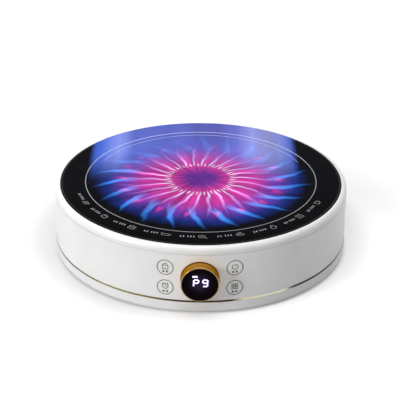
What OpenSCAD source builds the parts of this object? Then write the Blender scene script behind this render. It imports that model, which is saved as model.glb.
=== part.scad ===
// Electric ceramic tea stove: a round tabletop cooker with a black glass top, a turning ring round a
// lit readout and four push buttons. Millimetres, +Z up, the controls face -Y, and the origin lies on
// the body's axis at table level.

/* [Body] */
// Outside diameter of the body
body_d = 290; // [284:1:310]
// Height from the table to the top of the glass
body_h = 70; // [68:1:80]
// Wall of the side shell
shell_wall = 2.5; // [2:0.1:3]
// Height of the base tray's visible side
skirt_h = 10.6; // [9:0.1:12]
// Thickness of the base tray's floor
plate_t = 2.5; // [2.2:0.1:3.5]
// Radius on the base tray's bottom edge
base_round = 2; // [1:0.1:2.4]
// Height of the base tray's spigot inside the shell
spigot_h = 7; // [5:0.1:9]
// Wall of the spigot and of the bezel's collar
spigot_t = 2; // [1.5:0.1:3]
// Clear height of the base tray above the table
foot_gap = 2; // [1.5:0.1:4]
// Depth that a foot is sunk into the tray
foot_sunk = 1; // [0.6:0.1:1.2]
// Diameter of a foot
foot_d = 18; // [14:0.5:24]
// Distance of the feet's centres from the outside of the body
foot_inset = 33; // [26:0.5:40]

/* [Trim band] */
// Height of the gold band
trim_h = 1.8; // [1.2:0.1:2.5]
// How far the band stands out of the wall
trim_proud = 0.2; // [0.1:0.05:0.5]

/* [Top] */
// Height of the bezel below its top edge
rim_h = 7.7; // [6.9:0.1:9]
// Width of the white rim seen from above
rim_w = 5.2; // [4.8:0.1:8]
// Radius on the rim's outer edge
rim_round = 4.6; // [3:0.1:4.7]
// Depth of the shadow line under the bezel
seam_depth = 0.8; // [0.4:0.1:1.2]
// Height of the shadow line under the bezel
seam_gap = 0.4; // [0.2:0.1:0.6]
// Depth of the bezel's collar inside the shell
collar_h = 5; // [4:0.1:7]
// Height of the snap bead on the collar
bead_r = 0.45; // [0.3:0.05:0.6]
// Width of the ledge that carries the glass
ledge_w = 8.8; // [7:0.1:12]
// Thickness of that ledge
ledge_t = 2; // [1.5:0.1:2.4]
// Thickness of the glass
glass_t = 4; // [3:0.1:5]
// How far the glass stands above the rim
glass_proud = 0.3; // [0.1:0.05:0.6]
// Ground edge of the glass
glass_chamfer = 0.6; // [0.3:0.1:1.2]
// Thickness of the silicone seal below the glass
seal_t = 0.8; // [0.5:0.1:1.2]
// Width of that seal
seal_w = 7.5; // [5:0.1:8]

/* [Heater] */
// Gap between the heater's sheet pan and the ledge that carries the glass
heater_gap = 29; // [26:0.5:34]
// Sheet of the pan
pan_t = 0.8; // [0.6:0.1:1.2]
// Gap from the pan's rim to the glass
pan_drop = 2; // [1:0.1:3]
// Height of the insulation ring, which presses on the glass
ring_h = 14; // [12:0.1:15]
// Width of the insulation ring
ring_w = 12.9; // [10:0.1:16]
// Height of the heating ribbon
coil_h = 4.5; // [3:0.1:4.8]
// Thickness of the heating ribbon
coil_t = 0.8; // [0.5:0.1:1.2]
// Radial distance between neighbouring turns of one arm
coil_pitch = 16; // [13:0.5:18]
// Radius at which the ribbon turns back at the middle
coil_inner_r = 18; // [14:0.5:20]
// Gap from the ribbon's outer turn to the insulation ring
coil_margin = 4; // [3:0.5:6]
// Distance of each tail of the ribbon from the terminals' middle line
tail_x = 5; // [4:0.1:6]
// Direction of the heater's terminals, anticlockwise from the right
terminal_angle = 150; // [140:1:160]
// Width of the terminal block
block_w = 28; // [24:0.5:32]
// Depth of the terminal block
block_d = 12; // [10:0.5:14]
// Height of the terminal block
block_h = 14; // [12:0.5:16]
// Distance of the terminal block's middle below the ribbon's foot
block_drop = 3; // [2:0.1:5]
// Wall round the ribbon's tails in the terminal block's nose
nose_wall = 1.5; // [1:0.1:2]
// Radius of the limiter's rod
rod_r = 2; // [1.5:0.1:2.2]
// Distance of the rod from the body's axis
rod_offset = 14; // [11:0.5:18]
// How far the rod's end is sunk into the insulation ring
rod_bite = 4; // [2:0.5:6]
// Wall of the limiter's ferrule
ferrule_t = 1.4; // [1:0.1:2]
// Length of the limiter's ferrule
ferrule_l = 2.8; // [2.5:0.1:4]
// Length of the limiter's switch
limiter_l = 26; // [22:0.5:28]
// Width of the limiter's switch
limiter_w = 18; // [14:0.5:20]
// Height of the limiter's switch
limiter_h = 14; // [12:0.5:18]
// Radius of the temperature sensor's tube
sensor_r = 5; // [4:0.1:6]
// Radius of the sensor's flange under the pan
sensor_flange_r = 9; // [8:0.1:12]
// Thickness of that flange
sensor_flange_t = 2; // [1:0.1:2.4]
// Length of the sensor's tail under the flange
sensor_tail = 1; // [0.5:0.1:1.5]
// How far the heat shield reaches past the pan
shield_margin = 10; // [8:0.5:14]
// Sheet of the heat shield
shield_t = 1; // [0.6:0.1:1.5]
// Distance of the shield's posts from its edge
post_inset = 6; // [5.5:0.1:8]
// Radius of the shield's posts
post_r = 5; // [4:0.1:6]
// Height of the leaf springs under the pan
spring_h = 5; // [4:0.1:6]
// Length of a leaf spring
spring_l = 40; // [34:0.5:46]
// Length of a leaf spring's flat crest
spring_crest = 10; // [6:0.5:12]
// Length of each of a leaf spring's feet
spring_foot = 8; // [5:0.5:9]
// Width of a leaf spring
spring_w = 14; // [10:0.5:18]
// Sheet of a leaf spring
spring_t = 0.6; // [0.4:0.1:0.8]
// Distance of the springs from the body's axis
spring_place = 70; // [60:0.5:74]

/* [Knob] */
// Diameter of the knob
knob_d = 35.3; // [33:0.1:37]
// How far the knob stands out of the body
knob_out = 10.6; // [10:0.1:14]
// Width of the gold rim round the black window
knob_skin = 0.8; // [0.8:0.1:1.4]
// Radius on the front edge of that rim
knob_round = 0.4; // [0.2:0.05:0.6]
// Thickness of the black window
lens_t = 1.5; // [1:0.1:2]
// Depth of the window behind the gold rim
lens_sunk = 0.3; // [0.1:0.05:0.8]
// Depth of the knob's body, from its outside to the fixed barrel
knob_depth = 3.45; // [3.3:0.05:3.6]
// Wall of the knob's sleeve where it passes the shell
sleeve_t = 1.3; // [1:0.1:1.6]
// Wall of the fixed barrel that carries the window
barrel_t = 1.5; // [1.2:0.1:1.6]
// Depth of the pocket behind the knob
pocket_d = 2.4; // [2:0.1:3]
// Thickness of the pocket's floor
pocket_floor = 3; // [2:0.1:3.5]
// Wall round the pocket behind the knob
pocket_wall = 1.4; // [1:0.1:1.8]
// Width of the encoder's rotor
rotor_w = 3.5; // [3:0.1:4]
// Thickness of the encoder's rotor
rotor_t = 2.8; // [2:0.1:3]
// Thickness of the encoder's back
stator_t = 2.6; // [2:0.1:3]
// Wall of the encoder's cup
stator_wall = 2; // [1.5:0.1:2.2]
// Thickness of the lip that keeps the rotor in
lip_t = 1.4; // [1:0.1:1.8]
// Gap between the readout's corners and the barrel
display_gap = 1.1; // [0.6:0.1:1.6]
// Height of the readout
display_h = 14; // [12:0.5:14]
// Depth of the readout
display_d = 7; // [5:0.5:9]
// Width of the readout's pins
pin_w = 0.6; // [0.4:0.1:0.8]
// Distance of the outer pins from the readout's edges
pin_edge = 1; // [0.6:0.1:2]
// Number of pins in a row
pin_count = 5; // [4:1:6]

/* [Buttons] */
// Diameter of a button
button_d = 15.5; // [14:0.1:16]
// Distance of the buttons from the middle
button_x = 32; // [31:0.5:34]
// Half the height between the two rows
button_rise = 10.4; // [10:0.1:11]
// Share of the wall's free height that lies below the buttons' guides
row_share = 0.35; // [0.2:0.01:0.5]
// Travel of a button
button_travel = 0.8; // [0.4:0.1:1]
// Thickness of a button's flange
flange_t = 1.5; // [1:0.1:1.8]
// How far a flange reaches past its opening
flange_reach = 1; // [0.8:0.1:1.2]
// Wall of a button's guide
guide_t = 2.2; // [1.6:0.1:2.6]
// Radius of a button's stem
stem_r = 2.5; // [2:0.1:3]
// Length of a button's stem behind its flange
stem_l = 2.4; // [2:0.1:2.8]
// Width of a push switch
switch_w = 6; // [5.5:0.1:7]
// Depth of a push switch
switch_d = 3.5; // [3:0.1:3.8]
// Radius of a push switch's plunger
plunger_r = 1.75; // [1.2:0.05:2]
// How far a plunger stands out of its switch
plunger_out = 1.8; // [1.5:0.1:2]
// How far a plunger reaches into its switch at rest
plunger_in = 0.4; // [0.3:0.1:0.6]

/* [Control board] */
// Depth of the control board behind the front of the body
control_depth = 22; // [21:0.1:24]
// Height of the control board
control_h = 40; // [38:0.5:42]
// Thickness of both circuit boards
board_t = 1.6; // [1.2:0.1:2]
// Radius of the control board's posts
control_post_r = 3.2; // [2.6:0.1:3.6]
// Distance of these posts past the buttons
control_post_out = 16; // [15:0.5:18]
// Half the height between these posts
control_post_rise = 15; // [14:0.5:16]
// Edge of the control board past its posts
control_edge = 0.8; // [0.4:0.1:1.5]
// Room beside the control board in the spigot and the collar
notch_margin = 2; // [1:0.1:3]

/* [Electronics] */
// Width of the main board
main_w = 102; // [100:1:106]
// Depth of the main board
main_d = 100; // [98:1:104]
// Distance of the main board's right edge left of the middle
main_right = 3; // [2:0.5:6]
// Distance of the main board's middle behind the body's axis
main_back = 2; // [0:0.5:4]
// Height of the main board's standoffs
standoff_h = 6; // [5:0.1:7]
// Distance of the board's screws from its edges
board_inset = 5; // [4.5:0.1:6]
// Room between the main board and the heat shield
board_room = 17.9; // [17:0.1:20]
// Radius of the main board's standoffs
standoff_r = 3.5; // [3:0.1:4]
// Height of the heat sink
sink_h = 13; // [10:0.5:14]
// Length of the heat sink
sink_l = 44; // [36:0.5:50]
// Depth of the heat sink
sink_d = 26; // [20:0.5:28]
// Thickness of a fin
fin_t = 1.6; // [1:0.1:2]
// Gap between neighbouring fins
fin_gap = 2.4; // [2:0.1:3]
// Thickness of the heat sink's foot
fin_foot = 3; // [2:0.1:4]
// Width of the triac
triac_w = 10; // [9:0.1:11]
// Depth of the triac
triac_d = 4.5; // [4:0.1:5]
// Height of the triac's body
triac_h = 9; // [7:0.1:9]
// Width of a triac's leg
leg_w = 1; // [0.6:0.1:1.2]
// Distance between neighbouring legs
leg_step = 2.5; // [2:0.1:3]
// Length of the triac's legs
leg_l = 3.5; // [3:0.1:4]

/* [Fan] */
// Width of the fan's frame
fan_w = 80; // [76:1:84]
// Depth of the fan's frame
fan_t = 15; // [14:0.5:16]
// Height of the fan above the floor of the tray
fan_stand = 3; // [2.5:0.1:4]
// Distance from the main board to the fan
fan_gap = 15; // [12:0.5:18]
// Distance of the fan behind the body's axis
fan_back = 10; // [6:0.5:14]
// Distance of the fan's screws from the frame's sides
fan_hole_inset = 4.25; // [4:0.05:5]
// Least wall of the fan's frame
fan_rim = 1.5; // [1.2:0.1:2]
// Thickness of the fan's struts
strut_t = 2.5; // [2:0.1:3]
// Width of the fan's struts
strut_w = 4; // [3:0.1:5]
// Gap between the struts and the impeller
hub_lift = 2; // [1:0.1:3]
// Depth of the impeller below the top of the frame
hub_drop = 1; // [0.5:0.1:2]
// Number of the fan's blades
blade_count = 7; // [5:1:9]
// Thickness of a blade
blade_t = 1.4; // [1:0.1:1.8]
// Pitch of a blade
blade_pitch = 40; // [30:1:45]
// Radius of the fan's posts
fan_post_r = 4; // [3.4:0.1:4.2]
// Floor left below the fan's screws
fan_floor_left = 1.2; // [1:0.1:1.5]
// Radius of the fan's hub
hub_r = 17; // [15:0.5:18]
// Wall of the fan's hub
hub_t = 2; // [1.5:0.1:2.4]
// Radius of the fan's shaft
shaft_r = 1.5; // [1.2:0.1:2]
// Wall of the fan's bearing
bearing_t = 2.5; // [2:0.1:3]

/* [Air slots] */
// Width of a slot under the fan
inlet_w = 3.5; // [2.5:0.1:4]
// Distance between neighbouring slots under the fan
inlet_step = 7; // [6:0.1:9]
// Gap between the slots and the fan's side
inlet_margin = 4; // [3:0.1:6]
// Width of a slot at the side
outlet_w = 2.5; // [2:0.1:3]
// Length of a slot at the side
outlet_l = 9; // [7:0.1:11]
// Gap between these slots and the screw bosses
outlet_margin = 2; // [1:0.1:3]

/* [Cord inlet] */
// Radius of the hole for the cord
gland_bore_r = 3.7; // [3:0.1:4.2]
// Wall of the gland's neck
gland_wall = 3.1; // [2.4:0.1:4]
// Width of the gland's flanges
gland_flange_w = 1.7; // [1.2:0.1:2.4]
// Thickness of the gland's flanges
gland_flange_t = 2.4; // [1.6:0.1:3]
// Gap between the gland's flange and the base tray's spigot
gland_lift = 1.9; // [0.5:0.1:4]

/* [Screws] */
// Radius of a case screw's shank
screw_r = 1.25; // [1:0.05:1.4]
// Radius of a case screw's head
head_r = 2.8; // [2.4:0.1:3]
// Height of a case screw's head
head_h = 2; // [1.4:0.1:2.4]
// Length of a case screw
case_screw_l = 24; // [22:0.5:28]
// Depth of the counterbore for a case screw
case_sink = 6; // [5:0.1:7]
// Radius of the case's screw bosses
boss_r = 5; // [4.6:0.1:5.5]
// Distance of the bosses' axes from the shell's inner face
boss_inset = 8.5; // [8:0.1:10]
// How much slimmer the shell's bosses are than the tray's
boss_step = 0.5; // [0:0.1:1]
// Length of the shell's screw bosses
boss_l = 18; // [16:0.5:22]
// Thickness of the web between boss and shell
web_t = 2.4; // [1.8:0.1:3]
// Length of a board screw
board_screw_l = 6; // [5:0.1:6.4]
// Radius of a control board screw's shank
small_screw_r = 0.85; // [0.7:0.05:1]
// Radius of a control board screw's head
small_head_r = 2; // [1.6:0.1:2.2]
// Height of a control board screw's head
small_head_h = 1.5; // [1:0.1:1.8]
// Depth that a control board screw bites
small_screw_l = 8; // [6:0.5:9]
// Room past the tip of a screw
tip_gap = 0.8; // [0.5:0.1:1]
// Length of a shield screw
shield_screw_l = 12; // [8:0.5:14]

/* [Clearances] */
// Gap between shells that slide into each other
slide_fit = 0.2; // [0.1:0.05:0.3]
// Gap round the glass, the pan's filling and other loose fits
loose_fit = 0.3; // [0.2:0.05:0.4]
// Running gap of a shaft in its bore
run_fit = 0.06; // [0.03:0.01:0.1]
// Gap between moving and fixed faces
air_gap = 0.5; // [0.4:0.05:0.7]
// Gap round a button
button_gap = 0.25; // [0.2:0.01:0.35]
// Gap between a screw's shank and its pilot hole
pilot_fit = 0.05; // [0.03:0.01:0.1]
// Gap between a screw's shank and a through hole
through_fit = 0.45; // [0.3:0.05:0.6]

/* [Hidden] */
$fn = 96;
// Overshoot of cutters past the faces they cut, and overlap of fused pieces
over = 1;

// Radii of the housing
body_r = body_d / 2;
shell_ri = body_r - shell_wall;
wall_mid_r = body_r - shell_wall / 2;
spigot_ro = shell_ri - slide_fit;
spigot_ri = spigot_ro - spigot_t;
opening_r = body_r - rim_w;
glass_r = opening_r - loose_fit;
ledge_ri = opening_r - ledge_w;
foot_r = foot_d / 2;
foot_place = body_r - foot_inset;
boss_place = shell_ri - boss_inset;

// Heights of the housing, from the table up
base_z = foot_gap;
plate_z = base_z + plate_t;
skirt_z = base_z + skirt_h;
shell_z = skirt_z + trim_h;
spigot_z = skirt_z + spigot_h;
joint_z = spigot_z + air_gap;
rim_z = body_h - glass_proud;
seam_z = rim_z - rim_h;
glass_z = body_h - glass_t;
ledge_z = glass_z - seal_t;
collar_z = seam_z - collar_h;
bead_z = seam_z - collar_h / 2;
groove_r = bead_r + slide_fit;

// Fastener holes
pilot_r = screw_r + pilot_fit;
through_r = screw_r + through_fit;
sink_r = head_r + through_fit;
seat_z = base_z + case_sink;
case_angles = [0 : 60 : 300];
foot_angles = [45 : 90 : 315];

// Heights of the heater. The shield lies over the main board, the ring hangs from the glass, and the
// slab fills what is left between.
main_z = plate_z + standoff_h;
main_top = main_z + board_t;
shield_z = main_top + board_room;
shield_top = shield_z + shield_t;
pan_z = shield_top + spring_h;
slab_z = pan_z + pan_t;
ring_z = glass_z - ring_h;
limiter_z = ring_z + coil_h + rod_r + 2 * air_gap;
pan_r = ledge_ri - heater_gap;
shield_r = pan_r + shield_margin;
post_place = (shield_r - post_inset) / sqrt(2);
filling_r = pan_r - pan_t - loose_fit;
ring_ri = filling_r - ring_w;
sensor_hole_r = sensor_r + loose_fit;

// Terminals of the heater, in a frame turned so that they lie along +Y
terminal_turn = terminal_angle - 90;
tail_window_x = tail_x + coil_t / 2 + nose_wall;
tail_window_h = coil_h + air_gap;
block_z = ring_z - block_h / 2 - block_drop;
block_y = pan_r + loose_fit;
nose_y = pan_r - pan_t - loose_fit / 2;
coil_outer_r = ring_ri - coil_margin;
coil_steps = 24;
coil_turns = floor((coil_outer_r - coil_inner_r - coil_pitch / 2) / coil_pitch * coil_steps) / coil_steps;
coil_first = 90 - 360 * coil_turns;

// Limiter
ferrule_r = rod_r + ferrule_t;
ferrule_hole_r = ferrule_r + loose_fit;
limiter_x = sqrt(pow(pan_r, 2) - pow(max(0, rod_offset - limiter_w / 2), 2)) + loose_fit;
ferrule_x = limiter_x - ferrule_l;
rod_far_x = -ring_ri - rod_bite;

// Leaf springs
spring_angles = [0 : 90 : 270];

// Places along Y of the controls, from the front of the body inwards
face_y = -body_r;
knob_y = face_y - knob_out;
lens_y = knob_y + lens_sunk;
lens_back_y = lens_y + lens_t;
sleeve_y = lens_back_y + air_gap;
pocket_y = face_y + pocket_d;
knob_rear_y = pocket_y - air_gap;
pocket_back_y = pocket_y + pocket_floor;
control_y = face_y + control_depth;
control_back_y = control_y + board_t;
stator_y = control_y - stator_t;
rotor_rear_y = stator_y - air_gap;
rotor_y = rotor_rear_y - rotor_t;
lip_back_y = rotor_y - air_gap;
lip_y = lip_back_y - lip_t;
display_y = lens_back_y + slide_fit;
display_rear_y = display_y + display_d;

// Radii of the knob, from the outside in
knob_r = knob_d / 2;
knob_ring_ri = knob_r - knob_skin;
lens_r = knob_ring_ri - loose_fit;
sleeve_ro = knob_ring_ri - pilot_fit;
barrel_ro = knob_r - knob_depth;
barrel_ri = barrel_ro - barrel_t;
display_w = 2 * sqrt(pow(barrel_ri - display_gap, 2) - pow(display_h / 2, 2));
sleeve_ri = barrel_ro + run_fit;
tail_ro = sleeve_ri + sleeve_t;
knob_hole_r = tail_ro + air_gap;
pocket_r = knob_r + air_gap + slide_fit;
pocket_boss_r = pocket_r + pocket_wall;
pin_step = (display_w - 2 * pin_edge) / (pin_count - 1);
rotor_ri = tail_ro + pilot_fit;
rotor_ro = rotor_ri + rotor_w;
stator_ri = rotor_ro + air_gap;
stator_ro = stator_ri + stator_wall;
lip_ri = tail_ro + air_gap + loose_fit;

// Buttons, and the height of the knob between their rows
button_r = button_d / 2;
button_hole_r = button_r + button_gap;
flange_r = button_hole_r + flange_reach;
guide_ro = button_hole_r + guide_t;
rows_h = 2 * (button_rise + guide_ro);
button_z = shell_z + rows_h / 2 + row_share * (seam_z - shell_z - rows_h);
knob_z = button_z;
switch_y = control_y - switch_d;
plunger_y = switch_y - plunger_out;
switch_bore_r = plunger_r + loose_fit;
switch_bore_d = plunger_in + button_travel + loose_fit;
flange_back_y = plunger_y - stem_l;
flange_y = flange_back_y - flange_t;
guide_y = flange_y - loose_fit;

// Control board
control_post_x = button_x + control_post_out;
control_w = 2 * (control_post_x + control_post_r + control_edge);
notch_x = control_w / 2 + notch_margin;

// Main board
main_x0 = -main_right - main_w;
main_x1 = -main_right;
main_y0 = main_back - main_d / 2;
main_y1 = main_back + main_d / 2;

// Sizes of the pieces on the main board, along X, Y and Z
relay_size = [20, 16, 14];
capacitor_size = [26, 12, 13];
core_size = [26, 22, 12];
bobbin_size = [16, 28, 8];
bobbin_lift = 2;
fuse_r = 2.6;
fuse_l = 20;
fuse_lift = 4.5;
clip_l = 5;
clip_w = 7;
tab_w = 6.3;
tab_t = 0.8;
tab_h = 8;
tab_foot_h = 2;
tab_step = 10;
tab_count = 4;
buzzer_r = 6;
buzzer_h = 8;
buzzer_hole_r = 1;

// Places of these pieces, from the nearest corner of the board
sink_inset = [13, 10];
relay_inset = [37, 14];
capacitor_inset = [7, 38];
core_inset = [50, 43];
fuse_inset = [7, 18];
tab_inset = [17, 8];
buzzer_inset = [12, 20];
sink_at = [main_x0 + sink_inset.x, main_y0 + sink_inset.y, main_top];
relay_at = [main_x1 - relay_inset.x, main_y0 + relay_inset.y, main_top];
capacitor_at = [main_x0 + capacitor_inset.x, main_y1 - capacitor_inset.y, main_top];
core_at = [main_x1 - core_inset.x, main_y1 - core_inset.y, main_top];
fuse_at = [main_x0 + fuse_inset.x, main_y1 - fuse_inset.y, main_top];
buzzer_at = [main_x1 - buzzer_inset.x, main_y1 - buzzer_inset.y, main_top];
tabs_at = [for (i = [0 : tab_count - 1])
    [main_x0 + tab_inset.x + i * tab_step, main_y1 - tab_inset.y, main_top]];

// Fan
fan_x = main_x1 + fan_gap + fan_w / 2;
fan_y = fan_back;
fan_z = plate_z + fan_stand;
fan_hole = fan_w / 2 - fan_hole_inset;
fan_bore_r = fan_w / 2 - fan_rim;
fan_tip_r = fan_bore_r - 2 * air_gap;
fan_bearing_r = shaft_r + bearing_t;
hub_z = fan_z + strut_t + hub_lift;
hub_top = fan_z + fan_t - hub_drop;
bearing_z = fan_z + strut_t / 2;
fan_screw_bite = fan_stand + plate_t - fan_floor_left;

// Air slots in the floor of the tray
inlet_r = fan_w / 2 - inlet_margin;
inlet_rows = floor(inlet_r / inlet_step) - 1;
outlet_angles = [150 : 5 : 210];
outlet_r = boss_place - boss_r - outlet_margin - outlet_l / 2;

// Cord inlet
gland_ro = gland_bore_r + gland_wall;
gland_hole_r = gland_ro + slide_fit;
gland_flange_r = gland_ro + gland_flange_w;
gland_z = spigot_z + gland_flange_r + gland_lift;
gland_out_y = body_r + slide_fit / 4;
gland_in_y = sqrt(pow(shell_ri, 2) - pow(gland_flange_r, 2)) - slide_fit / 4;

// Sockets, wires and the flat cable
socket_h = 7;
socket_d = 6;
wire_r = 1.4;
thin_wire_r = 0.8;
wire_gap = 1.8;
wire_straight = 4;
lead_bend = 5;
lead_gap = 8;
cable_w = 12;
cable_t = 1;
socket_inset = 5;
cable_inset = 22;
fan_socket_front = 12;
sensor_socket_back = 10;
fan_socket = [main_x1 - socket_inset, main_back - fan_socket_front];
sensor_socket = [main_x1 - socket_inset, main_back + sensor_socket_back];
cable_x = main_x1 - cable_inset;
cable_socket_y = main_y0 + socket_d;
cable_socket_z = knob_z - control_h / 2 + socket_d;

// Shapes that repeat

module tube_z(r_in, r_out, z0, z1) {
    translate([0, 0, z0]) difference() {
        cylinder(r = r_out, h = z1 - z0);
        translate([0, 0, -over]) cylinder(r = r_in, h = z1 - z0 + 2 * over);
    }
}

module rod_z(r, z0, z1) {
    translate([0, 0, z0]) cylinder(r = r, h = z1 - z0);
}

module rod_y(r, y0, y1) {
    translate([0, y0, 0]) rotate([-90, 0, 0]) cylinder(r = r, h = y1 - y0);
}

module rod_x(r, x0, x1) {
    translate([x0, 0, 0]) rotate([0, 90, 0]) cylinder(r = r, h = x1 - x0);
}

module tube_y(r_in, r_out, y0, y1) {
    difference() {
        rod_y(r_out, y0, y1);
        rod_y(r_in, y0 - over, y1 + over);
    }
}

// A box between two corners
module block(low, high) {
    translate(low) cube(high - low);
}

// A slot with round ends along X, centred
module slot_2d(l, w) {
    square([l - w, w], center = true);
    for (side = [-1, 1]) translate([side * (l - w) / 2, 0]) circle(d = w);
}

// A quarter disc in the first quadrant
module quarter_2d(r) {
    intersection() {
        circle(r);
        square(r);
    }
}

// A square on its corner, for the snap bead and its groove
module bead_2d(r) {
    circle(r, $fn = 4);
}

module polar(r, a) {
    rotate([0, 0, a]) translate([r, 0, 0]) children();
}

module at_case_screws() {
    for (a = case_angles) polar(boss_place, a) children();
}

module at_feet() {
    for (a = foot_angles) polar(foot_place, a) children();
}

module at_shield_posts() {
    for (x = [-1, 1], y = [-1, 1]) translate([x * post_place, y * post_place, 0]) children();
}

module at_board_screws() {
    for (x = [main_x0 + board_inset, main_x1 - board_inset])
        for (y = [main_y0 + board_inset, main_y1 - board_inset]) translate([x, y, 0]) children();
}

module at_fan() {
    translate([fan_x, fan_y, 0]) children();
}

module at_fan_screws() {
    at_fan() for (x = [-1, 1], y = [-1, 1]) translate([x * fan_hole, y * fan_hole, 0]) children();
}

module at_control_posts() {
    for (x = [-1, 1], z = [-1, 1])
        translate([x * control_post_x, 0, knob_z + z * control_post_rise]) children();
}

module at_button(column, row) {
    translate([column * button_x, 0, button_z + row * button_rise]) children();
}

module at_buttons() {
    for (column = [-1, 1], row = [-1, 1]) at_button(column, row) children();
}

module at_knob() {
    translate([0, 0, knob_z]) children();
}

// A screw with its shank up and its head's seat at the origin
module screw_up(l) {
    rod_z(screw_r, 0, l);
    rod_z(head_r, -head_h, 0);
}

// A screw with its shank down and its head's seat at the origin
module screw_down(l) {
    mirror([0, 0, 1]) screw_up(l);
}

// What lies within the middle of the shell's wall
module within_wall() {
    intersection() {
        children();
        rod_z(wall_mid_r, 0, body_h);
    }
}

// Points of a smooth curve through a route, with straight tangents at both ends
function spline_point(a, b, c, d, t) =
    0.5 * (2 * b + (c - a) * t + (2 * a - 5 * b + 4 * c - d) * t * t
    + (3 * b - a - 3 * c + d) * t * t * t);
function smooth(route, steps) = let (last = len(route) - 1) [
    for (i = [0 : last - 1], s = [0 : steps - 1])
        spline_point(
            i > 0 ? route[i - 1] : 2 * route[0] - route[1], route[i], route[i + 1],
            i + 2 <= last ? route[i + 2] : 2 * route[last] - route[last - 1], s / steps),
    route[last]
];
function unit(v) = v / norm(v);
function heading(path, i) = unit(path[min(i + 1, len(path) - 1)] - path[max(i - 1, 0)]);

// A round wire along a route, of flat sides
module wire(route, r, side_axis, sides = 8, steps = 4) {
    path = smooth(route, steps);
    points = [for (i = [0 : len(path) - 1]) let (t = heading(path, i), u = unit(cross(t, side_axis)),
        v = cross(t, u)) for (k = [0 : sides - 1])
        path[i] + r * (cos(360 * k / sides) * u + sin(360 * k / sides) * v)];
    last = len(points) - sides;
    walls = [for (i = [0 : len(path) - 2], k = [0 : sides - 1]) let (n = (k + 1) % sides, j = i * sides)
        each [[j + k, j + sides + k, j + sides + n], [j + k, j + sides + n, j + n]]];
    start = [for (k = [1 : sides - 2]) [0, k, k + 1]];
    end = [for (k = [1 : sides - 2]) [last, last + k + 1, last + k]];
    polyhedron(points = points, faces = concat(start, walls, end));
}

// Housing

module base_profile() {
    translate([0, base_z]) square([body_r - base_round, plate_t]);
    translate([spigot_ri, base_z + base_round]) square([body_r - spigot_ri, skirt_h - base_round]);
    translate([body_r - base_round, base_z + base_round]) mirror([0, 1]) quarter_2d(base_round);
    translate([spigot_ri, base_z]) square([spigot_t, spigot_z - base_z]);
}

module air_slots() {
    at_fan() for (i = [-inlet_rows : inlet_rows])
        translate([0, i * inlet_step, 0])
            slot_2d(2 * sqrt(pow(inlet_r, 2) - pow(i * inlet_step, 2)), inlet_w);
    for (a = outlet_angles) polar(outlet_r, a) slot_2d(outlet_l, outlet_w);
}

module base_tray() {
    color("white") difference() {
        union() {
            rotate_extrude() base_profile();
            at_case_screws() rod_z(boss_r, plate_z - over, joint_z);
            at_shield_posts() rod_z(post_r, plate_z - over, shield_z);
            at_board_screws() rod_z(standoff_r, plate_z - over, main_z);
            at_fan_screws() rod_z(fan_post_r, plate_z - over, fan_z);
        }
        at_case_screws() rod_z(through_r, seat_z - over, joint_z + over);
        at_case_screws() rod_z(sink_r, base_z - over, seat_z);
        at_feet() rod_z(foot_r + slide_fit, base_z - over, base_z + foot_sunk);
        at_shield_posts() rod_z(pilot_r, shield_z - shield_screw_l, shield_z + over);
        at_board_screws() rod_z(pilot_r, main_z - board_screw_l, main_z + over);
        at_fan_screws() rod_z(pilot_r, fan_z - fan_screw_bite - pilot_fit, fan_z + over);
        translate([0, 0, base_z - over]) linear_extrude(plate_t + 2 * over) air_slots();
        block([-notch_x, -body_r, skirt_z], [notch_x, -body_r / 2, spigot_z + over]);
    }
}

module trim_band() {
    color("goldenrod") tube_z(spigot_ro + slide_fit, body_r + trim_proud, skirt_z, shell_z);
}

module shell_bosses() {
    at_case_screws() {
        rod_z(boss_r - boss_step, joint_z, joint_z + boss_l);
        block([0, -web_t / 2, joint_z], [wall_mid_r - boss_place, web_t / 2, joint_z + boss_l]);
    }
}

module side_shell() {
    color("white") difference() {
        union() {
            tube_z(shell_ri, body_r, shell_z, seam_z);
            shell_bosses();
            within_wall() at_knob() rod_y(pocket_boss_r, face_y, pocket_back_y);
            within_wall() at_buttons() rod_y(guide_ro, face_y, guide_y);
            within_wall() at_control_posts() rod_y(control_post_r, face_y, control_y);
        }
        at_case_screws() rod_z(pilot_r, joint_z - over, seat_z + case_screw_l + tip_gap);
        at_knob() rod_y(pocket_r, face_y - over, pocket_y);
        at_knob() rod_y(knob_hole_r, face_y, pocket_back_y + over);
        at_buttons() rod_y(button_hole_r, face_y - over, guide_y + over);
        at_control_posts() rod_y(small_screw_r + pilot_fit, control_y - small_screw_l, control_y + over);
        translate([0, 0, gland_z]) rod_y(gland_hole_r, shell_ri - over, body_r + over);
        rotate_extrude() translate([shell_ri, bead_z]) bead_2d(groove_r);
    }
}

module bezel_profile() {
    translate([opening_r, seam_z]) square([rim_w - rim_round, rim_z - seam_z]);
    translate([opening_r, seam_z + seam_gap]) square([rim_w, rim_h - seam_gap - rim_round]);
    translate([body_r - rim_round, rim_z - rim_round]) quarter_2d(rim_round);
    translate([opening_r, seam_z]) square([rim_w - seam_depth, rim_h / 2]);
    translate([ledge_ri, ledge_z - ledge_t]) square([body_r - seam_depth - ledge_ri, ledge_t]);
    translate([spigot_ri, collar_z]) square([spigot_t, rim_z - rim_round - collar_z]);
    translate([spigot_ro, bead_z]) bead_2d(bead_r);
}

module top_bezel() {
    color("white") difference() {
        rotate_extrude() bezel_profile();
        block([-notch_x, -body_r, collar_z - over], [notch_x, -body_r / 2, seam_z]);
    }
}

module glass_seal() {
    color("dimgray") tube_z(glass_r - seal_w, glass_r, ledge_z, glass_z);
}

module glass_top() {
    color([0.05, 0.05, 0.06]) {
        rod_z(glass_r, glass_z, body_h - glass_chamfer);
        translate([0, 0, body_h - glass_chamfer])
            cylinder(r1 = glass_r, r2 = glass_r - glass_chamfer, h = glass_chamfer);
    }
}

module rubber_feet() {
    color([0.15, 0.15, 0.15]) at_feet() rod_z(foot_r, 0, base_z + foot_sunk);
}

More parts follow.
